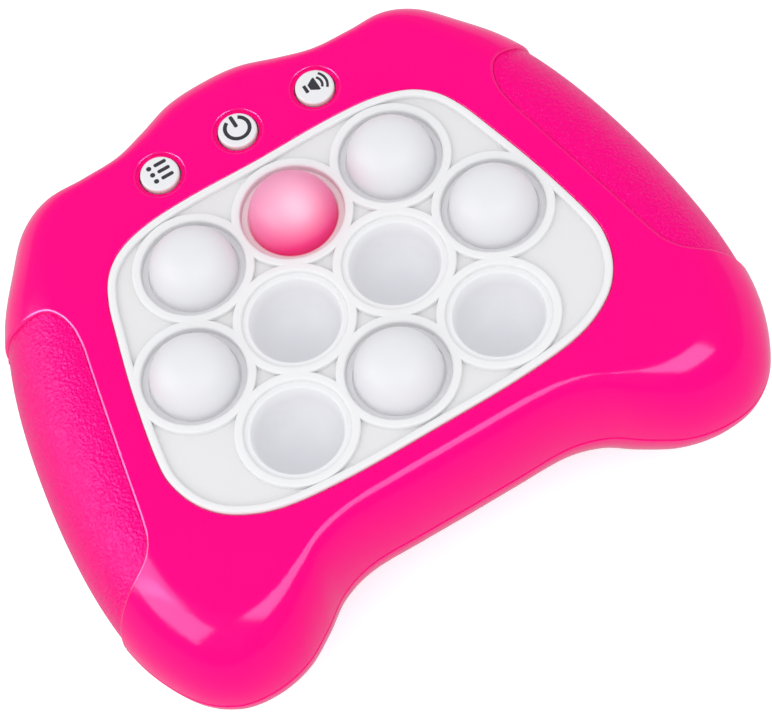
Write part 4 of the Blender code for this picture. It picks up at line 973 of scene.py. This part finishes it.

# Painted light: the skin itself glows, brightest round a point above and a little in front of its middle, and
# its colour is painted paler up and towards the back, deeper pink low and in front.
lit = Shader("lit_silicone")
lit_x, lit_y = BUBBLE_PLACES[LIT_UP - 1]
east, north, height = lit.split(lit.place())
beside, behind = east - lit_x, north - lit_y
on_dome = lit.ramp(lit.math("SQRT", beside * beside + behind * behind), BUBBLE_R + LIT_FADE, BUBBLE_R)
along, above = behind + GLOW_OFFSET, height - GLOW_Z
glow = lit.ramp(lit.math("SQRT", beside * beside + along * along + above * above), GLOW_REACH, 0.0)
uphill = lit.ramp(behind * GLOW_TINT_LEAN + height, PAD_FLOOR_Z - GLOW_TINT_LOW, PAD_FLOOR_Z + GLOW_TINT_HIGH)
painted_glow_tint = lit.mix(uphill, (0.90, 0.035, 0.22, 1.0), (0.86, 0.34, 0.52, 1.0))
lit.set(
    Base_Color=lit.mix(on_dome, (0.87, 0.83, 0.84, 1.0), painted_glow_tint),
    Roughness=0.45, Specular_IOR_Level=0.15,
    Emission_Color=lit.mix(glow * glow, (0.03, 0.001, 0.005, 1.0), (1.0, 0.92, 0.86, 1.0)),
    Emission_Strength=0.8,
)

inner_r = BUBBLE_R - BUBBLE_SKIN
for number, (x, y) in enumerate(BUBBLE_PLACES, 1):
    name = "bubble_%02d" % number
    if number in POPPED_IN:
        profile = [(r, -z) for r, z in dome(BOWL_INNER_R, BUBBLE_HEIGHT)[:-2]] + list(BOWL_LIP)
        profile += [(BOWL_OUTER_R, -FLANGE_SINK)]
        profile += [(r, -z) for r, z in dome(BOWL_OUTER_R, BUBBLE_HEIGHT + BUBBLE_SKIN)[-2::-1]]
    else:
        profile = dome(BUBBLE_R, BUBBLE_HEIGHT) + list(DOME_CREASE) + [(inner_r, -FLANGE_SINK)]
        profile += dome(inner_r, BUBBLE_HEIGHT - BUBBLE_SKIN)[::-1]
    skin = turned(name + "_skin", [(r, PAD_FLOOR_Z + z) for r, z in profile], x, y, RING_SIDES)
    shade(skin, 40)
    dress(skin, lit if number == LIT_UP else bowl_skin if number in POPPED_IN else dome_skin)
    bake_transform(skin)
    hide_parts(name)
    "lit_silicone" if number == LIT_UP else "white_silicone"


# Function buttons
# Three round white caps that stand just proud of their dishes. Each has a dark printed symbol and a flange
# that keeps it in the case, and presses a switch on the small board below.

CAP_TOP_Z = 0.0380
CAP_ROUND = 0.0005
CAP_STEPS = 8
CAP_FLANGE_R = 0.0046
CAP_FLANGE_Z = 0.0341
CAP_STEM_R = 0.0015
CAP_STEM_Z = 0.0331
PRINT_HEIGHT = 0.00003
SYMBOL_X = 0.0002
SYMBOL_Y = 0.0003
STROKE = 0.00076
STROKE_CORNER_R = 0.00033
ARC_STEPS = 24
PRINT_STEPS = 6
ROW_PITCH = 0.0016
DOT_X = 0.0015
DOT_HALF = 0.0005
DOT_CORNER_R = 0.00049
BAR_X = 0.0009
BAR_HALF_X = 0.0013
POWER_BAR_Y = 0.0016
POWER_BAR_HALF_Y = 0.0014
POWER_RING_R = 0.0024
MAGNET_X = 0.0019
MAGNET_HALF_X = 0.00035
MAGNET_HALF_Y = 0.0009
MAGNET_CORNER_R = 0.0001
MAGNET_STEPS = 4
CONE_REACH = 0.0015
CONE_SHARES = ((-0.8, -0.4), (-0.8, 0.4), (2 / 15, 1.0), (0.4, 1.0), (0.4, -1.0), (2 / 15, -1.0))
WAVE_X = 0.0004
WAVE_STROKE = 0.0005
NEAR_WAVE_R = 0.0019
FAR_WAVE_R = 0.0029


def mottled(name, scale, dark, light, grain=None, **finish):
    """A material in soft patches of two close colours, with a grain of (scale, strength) if wanted."""
    made = Shader(name)
    point = made.place()
    if grain:
        finish["Normal"] = made.bump(made.noise(point, grain[0]), grain[1])
    return made.set(Base_Color=made.mix(made.noise(point, scale), dark, light), **finish)


# Painted shade: the side of each cap and the lower part of its rounded edge are painted darker and warmer
# than its top.
cap_paint = Shader("white_cap")
cap_point = cap_paint.place()
cap_paint.set(
    Base_Color=cap_paint.mix(
        cap_paint.ramp(cap_paint.split(cap_point)[2], FACE_Z, CAP_TOP_Z - 2 * COLOUR_EDGE),
        (0.70, 0.62, 0.60, 1.0), (0.79, 0.79, 0.80, 1.0),
    ),
    Roughness=cap_paint.noise(cap_point, 300.0) * 0.1 + 0.35, Specular_IOR_Level=0.2,
)
print_ink = mottled(
    "dark_print", 900.0, (0.028, 0.024, 0.034, 1.0), (0.045, 0.038, 0.05, 1.0),
    Roughness=0.5, Specular_IOR_Level=0.2,
)


def printed(name, loop):
    """A printed patch on a cap, from its outline round the middle of the symbol."""
    return wrapped(name, [at(loop, CAP_TOP_Z - PRINT_HEIGHT), at(loop, CAP_TOP_Z + PRINT_HEIGHT)])


def stroke_arc(x, y, radius, first, last, width=STROKE):
    """The outline of a bent stroke. Angles are in degrees from +X towards +Y."""
    angles = [math.radians(first + (last - first) * step / ARC_STEPS) for step in range(ARC_STEPS + 1)]
    edges = (radius + width / 2, radius - width / 2)
    outer, inner = ([(x + r * math.cos(a), y + r * math.sin(a)) for a in angles] for r in edges)
    return outer[::-1] + inner


def mode_symbol(x, y):
    patches = []
    for row in (y - ROW_PITCH, y, y + ROW_PITCH):
        dot = rounded_box(DOT_HALF, DOT_HALF, DOT_CORNER_R, x - DOT_X, row, PRINT_STEPS)
        bar = rounded_box(BAR_HALF_X, STROKE / 2, STROKE_CORNER_R, x + BAR_X, row, PRINT_STEPS)
        patches += [printed("dot", dot), printed("bar", bar)]
    return patches


def power_symbol(x, y):
    bar = rounded_box(STROKE / 2, POWER_BAR_HALF_Y, STROKE_CORNER_R, x, y + POWER_BAR_Y, PRINT_STEPS)
    return [printed("bar", bar), printed("ring", stroke_arc(x, y, POWER_RING_R, 120, 420))]


def sound_symbol(x, y):
    magnet = rounded_box(MAGNET_HALF_X, MAGNET_HALF_Y, MAGNET_CORNER_R, x - MAGNET_X, y, MAGNET_STEPS)
    return [
        printed("magnet", magnet),
        printed("cone", [(x + a * CONE_REACH, y + b * CONE_REACH) for a, b in CONE_SHARES]),
        printed("near_wave", stroke_arc(x - WAVE_X, y, NEAR_WAVE_R, -40, 40, WAVE_STROKE)),
        printed("far_wave", stroke_arc(x - WAVE_X, y, FAR_WAVE_R, -40, 40, WAVE_STROKE)),
    ]


cap_profile = [(0.0, CAP_TOP_Z), *quarter_round(BUTTON_R, CAP_TOP_Z, CAP_ROUND, -1, CAP_STEPS)[::-1]]
cap_profile += [
    (BUTTON_R, flange_top), (CAP_FLANGE_R, flange_top), (CAP_FLANGE_R, CAP_FLANGE_Z),
    (CAP_STEM_R, CAP_FLANGE_Z), (CAP_STEM_R, CAP_STEM_Z), (0.0, CAP_STEM_Z),
]
for name, x, symbol in zip(("mode", "power", "sound"), BUTTON_XS, (mode_symbol, power_symbol, sound_symbol)):
    cap = shade(turned(name + "_cap", cap_profile, x, BUTTON_Y))
    settle(cap, cap_paint, name + "_button", "white_plastic", name + "_button")
    sign = joined(*symbol(x + SYMBOL_X, BUTTON_Y + SYMBOL_Y))
    sign.name = name + "_symbol"
    settle(sign, print_ink, name + "_button", "black_plastic", name + "_button")


# Pad frame, boards and switches
# The frame holds the sheet up from below. The main board carries a light and a switch for each bubble and a
# chip underneath, and the small board carries the switches of the function buttons.

BOARD_TOP_Z = 0.0198
BOARD_BOTTOM_Z = 0.0182


def keep(name, shader):
    """Gives a part inside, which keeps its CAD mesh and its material."""
    dress(nodes[name], shader)


def lacquered(made):
    """Copper tracks under green lacquer: where they are, and the colour."""
    tracks = made.ramp(made.noise(made.place((1.0, 0.25, 1.0)), 420.0, 1.0), 0.50, 0.52)
    return tracks, made.mix(tracks, (0.010, 0.115, 0.045, 1.0), (0.020, 0.175, 0.065, 1.0))


frame_plastic = mottled(
    "frame_plastic", 90.0, (0.66, 0.66, 0.67, 1.0), (0.72, 0.72, 0.72, 1.0), (1200.0, 0.1), Roughness=0.45
)
black_plastic = mottled(
    "black_plastic", 200.0, (0.018, 0.018, 0.019, 1.0), (0.032, 0.032, 0.034, 1.0), (2500.0, 0.15),
    Roughness=0.45,
)
board_mask = Shader("circuit_board")
board_height = board_mask.split(board_mask.place())[2]
tracks, green = lacquered(board_mask)
above_top = board_mask.ramp(board_height, BOARD_TOP_Z + COLOUR_EDGE / 2, BOARD_TOP_Z + COLOUR_EDGE)
with_lights = board_mask.mix(above_top, green, (0.80, 0.76, 0.55, 1.0))
above_chip = board_mask.ramp(board_height, BOARD_BOTTOM_Z - COLOUR_EDGE, BOARD_BOTTOM_Z - COLOUR_EDGE / 2)
board_mask.set(
    Base_Color=board_mask.mix(above_chip, (0.02, 0.02, 0.02, 1.0), with_lights),
    Roughness=tracks * 0.1 + 0.35,
)
button_mask = Shader("button_board_mask")
tracks, green = lacquered(button_mask)
button_mask.set(Base_Color=green, Roughness=tracks * 0.1 + 0.35)
keep("pad_frame", frame_plastic)
keep("main_board", board_mask)
keep("button_board", button_mask)
for name in nodes:
    if "_switch" in name:
        keep(name, black_plastic)


# Reset plate and springs
# A flanged plate of pale plastic in the underside. Ten posts stand on it under the bubbles, and four coil
# springs of steel wire push it back down from the main board.

PLATE_HALF_X = 0.03575
PLATE_HALF_Y = 0.02243
PLATE_LOW_Z = 0.0025
PLATE_TOP_Z = 0.0043
PRESS_LOW_Z = 0.0006
POST_R = 0.0020
POST_TOP_Z = 0.0268
SPRING_SHARES = (0.85, 0.56)
SPRING_R = 0.0023
SPRING_WIRE_R = 0.0003
SPRING_TURNS = 5
SPRING_STEPS = 20
WIRE_SIDES = 8
SPIGOT_R = 0.0014
SPIGOT_TOP_Z = 0.0063

plate_loop = rounded_box(PLATE_HALF_X, PLATE_HALF_Y, PRESS_CORNER_R, y=MIDDLE_Y)
press_face = rounded_box(PRESS_HALF_X, PRESS_HALF_Y, PRESS_CORNER_R, y=MIDDLE_Y)
spring_x, spring_y = PLATE_HALF_X * SPRING_SHARES[0], PLATE_HALF_Y * SPRING_SHARES[1]
spring_places = [(side * spring_x, end * spring_y + MIDDLE_Y) for end in (1, -1) for side in (-1, 1)]
plate = slab("reset_press_plate", plate_loop, PLATE_LOW_Z, PLATE_TOP_Z, GAP, GAP)
combine(plate, "UNION", slab("press_face", press_face, PRESS_LOW_Z, PLATE_LOW_Z + GAP, GAP))
combine(plate, "UNION", joined(
    *cylinders("post", BUBBLE_PLACES, PLATE_LOW_Z + GAP, POST_TOP_Z, POST_R),
    *cylinders("spigot", spring_places, PLATE_LOW_Z + GAP, SPIGOT_TOP_Z, SPIGOT_R, BORE_SIDES),
))
shade(plate)
settle(plate, frame_plastic, "reset_plate", "frame_plastic", "reset_plate")

steel = Shader("steel")
steel_grain = steel.noise(steel.place(), 700.0)
steel.set(
    Base_Color=steel.mix(steel_grain, (0.50, 0.50, 0.52, 1.0), (0.60, 0.60, 0.61, 1.0)),
    Metallic=1.0, Roughness=steel_grain * 0.15 + 0.22,
)
spring_low = PLATE_TOP_Z + GAP + SPRING_WIRE_R
spring_high = BOARD_BOTTOM_Z - GAP - SPRING_WIRE_R
for number, (x, y) in enumerate(spring_places, 1):
    deselect()
    bpy.ops.mesh.primitive_circle_add(
        vertices=WIRE_SIDES, radius=SPRING_WIRE_R,
        location=(SPRING_R, 0.0, 0.0), rotation=(math.pi / 2, 0.0, 0.0),
    )
    spring = placed("return_spring_%d" % number)
    coil = spring.modifiers.new("coil", "SCREW")
    coil.screw_offset = (spring_high - spring_low) / SPRING_TURNS
    coil.iterations = SPRING_TURNS
    coil.steps = SPRING_STEPS
    coil.render_steps = SPRING_STEPS
    alone(spring)
    bpy.ops.object.modifier_apply(modifier=coil.name)
    spring.location = (x, y, spring_low)
    bpy.ops.object.transform_apply()
    start(spring.name)
    bpy.ops.mesh.fill_holes(sides=0)
    bpy.ops.mesh.normals_make_consistent(inside=False)
    stop(spring)
    shade(spring, 50)
    settle(spring, steel, "case", "steel", "reset_spring_%d" % number)
    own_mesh(spring)


# Battery door
# A flat cover over the cells, in the pink of the case. Two tabs hold its left edge, and its captive screw
# goes through the ear on the right.

DOOR_SCREW_SEAT_Z = 0.0015

door = slab("bay_door", door_loop(0.0), DOOR_LOW_Z, DOOR_TOP_Z)
for y in DOOR_TAB_YS:
    combine(door, "UNION", block(
        "door_tab", (-DOOR_HALF_X - DOOR_TAB, y - DOOR_TAB_HALF_Y, DOOR_TOP_Z - DOOR_TAB_HEIGHT),
        (-DOOR_HALF_X + DOOR_TAB, y + DOOR_TAB_HALF_Y, DOOR_TOP_Z + GAP / 2),
    ))
ear_low = (DOOR_LOW_Z + DOOR_TOP_Z) / 2
combine(door, "UNION", cylinder(
    "door_ear", DOOR_SCREW_X, BAY_Y, ear_low, DOOR_PAD_Z, DOOR_EAR_R - GAP / 2, WIDE_SIDES
))
hole_profile = [
    (0.0, DOOR_PAD_Z + OVERRUN), (SCREW_R + GAP, DOOR_PAD_Z + OVERRUN), (SCREW_R + GAP, DOOR_SCREW_SEAT_Z),
    (SCREW_HEAD_R + GAP, DOOR_SCREW_SEAT_Z), (SCREW_HEAD_R + GAP, -OVERRUN), (0.0, -OVERRUN),
]
combine(door, "DIFFERENCE", turned("door_hole", hole_profile, DOOR_SCREW_X, BAY_Y, POCKET_SIDES))
shade(door)
settle(door, pink, "battery_door", "pink_shell", "battery_door")


# Speaker, cells and contacts
# The speaker, with a dark frame and a steel back, sits over the sound holes. Two cells in coloured sleeves
# lie side by side, their ends against sprung steel plates.

CELL_END_X = 0.02225
CELL_TIP = 0.0008
CELL_BAND = 0.0100
SPEAKER_FRAME_HEIGHT = 0.0045

for name, way in (("battery_cell_1", -1.0), ("battery_cell_2", 1.0)):
    sleeve = Shader("cell_sleeve_" + name[-1])
    reach = sleeve.split(sleeve.place())[0] * way
    band = sleeve.ramp(reach, CELL_END_X - CELL_BAND - COLOUR_EDGE, CELL_END_X - CELL_BAND)
    bare = sleeve.ramp(reach, CELL_END_X - CELL_TIP - COLOUR_EDGE, CELL_END_X - CELL_TIP)
    coloured = sleeve.mix(band, (0.012, 0.016, 0.045, 1.0), (0.62, 0.26, 0.07, 1.0))
    sleeve.set(
        Base_Color=sleeve.mix(bare, coloured, (0.62, 0.62, 0.63, 1.0)), Metallic=bare, Roughness=0.32,
    )
    keep(name, sleeve)
speaker_frame = Shader("speaker_frame")
speaker_height = speaker_frame.split(speaker_frame.place())[2]
metal_z = SPEAKER_Z + SPEAKER_FRAME_HEIGHT
metal = speaker_frame.ramp(speaker_height, metal_z - COLOUR_EDGE, metal_z + COLOUR_EDGE)
speaker_frame.set(
    Base_Color=speaker_frame.mix(metal, (0.03, 0.03, 0.03, 1.0), (0.45, 0.45, 0.46, 1.0)),
    Metallic=metal, Roughness=0.4,
)
keep("speaker", speaker_frame)
for name in ("contact_bridge", "contact_plus", "contact_minus"):
    keep(name, steel)


# Screws and leads
# Six steel screws close the case and four hold the main board, all with a cross in the head, and the battery
# door has its own. Two leads in black jackets run to the main board.

CROSS_WIDTH = 0.00055
CROSS_REACH_SHARE = 0.6
CROSS_FLOOR_SHARE = 0.45
HEAD_SHARES = ((1.0, 0.45), (0.93, 0.75), (0.75, 1.0), (0.0, 1.0))
SCREW_SIDES = 28
CASE_HEAD = 0.0018
DOOR_HEAD = 0.0008
BOARD_SCREW_SHARES = ((0.836, 0.414), (0.905, -0.357))
BOARD_SCREW_R = 0.0008
BOARD_HEAD_R = 0.0018
BOARD_HEAD = 0.0012
BOARD_SCREW_LENGTH = 0.0070


def cross_screw(name, x, y, tip_z, seat_z, shank_r, head_r, head):
    """A screw that points up, with a cross cut into its rounded head."""
    profile = [(0.0, tip_z), (shank_r / 2, tip_z), (shank_r, tip_z - shank_r)]
    profile += [(shank_r, seat_z), (head_r, seat_z)]
    profile += [(head_r * out, seat_z - head * down) for out, down in HEAD_SHARES]
    piece = turned(name, profile, x, y, SCREW_SIDES)
    low, high = seat_z - head - OVERRUN, seat_z - head * CROSS_FLOOR_SHARE
    reach, half = head_r * CROSS_REACH_SHARE, CROSS_WIDTH / 2
    for half_x, half_y in ((reach, half), (half, reach)):
        slot = block("slot", (x - half_x, y - half_y, low), (x + half_x, y + half_y, high))
        combine(piece, "DIFFERENCE", slot)
    return shade(piece)


for number, (x, y) in enumerate(CASE_SCREWS, 1):
    screw = cross_screw(
        "closing_screw_%d" % number, x, y, SCREW_TIP_Z, SCREW_SEAT_Z - GAP, SCREW_R, SCREW_HEAD_R, CASE_HEAD
    )
    settle(screw, steel, "case", "steel", "case_screw_%d" % number)
board_places = [
    (side * share_x * PAD_HALF_WIDTH, share_y * (PAD_BACK if share_y > 0 else PAD_FRONT) + MIDDLE_Y)
    for share_x, share_y in BOARD_SCREW_SHARES for side in (-1, 1)
]
for number, (x, y) in enumerate(board_places, 1):
    screw = cross_screw(
        "mounting_screw_%d" % number, x, y, BOARD_TOP_Z + BOARD_SCREW_LENGTH - GAP, BOARD_BOTTOM_Z - GAP,
        BOARD_SCREW_R, BOARD_HEAD_R, BOARD_HEAD,
    )
    settle(screw, steel, "case", "steel", "board_screw_%d" % number)
screw = cross_screw(
    "captive_screw", DOOR_SCREW_X, BAY_Y, DOOR_SCREW_TIP_Z, DOOR_SCREW_SEAT_Z - GAP, SCREW_R, SCREW_HEAD_R,
    DOOR_HEAD,
)
settle(screw, steel, "battery_door", "steel", "door_screw")
jacket = mottled("lead_jacket", 300.0, (0.016, 0.016, 0.017, 1.0), (0.03, 0.03, 0.03, 1.0), Roughness=0.4)
for name in ("battery_lead", "speaker_lead"):
    keep(name, jacket)
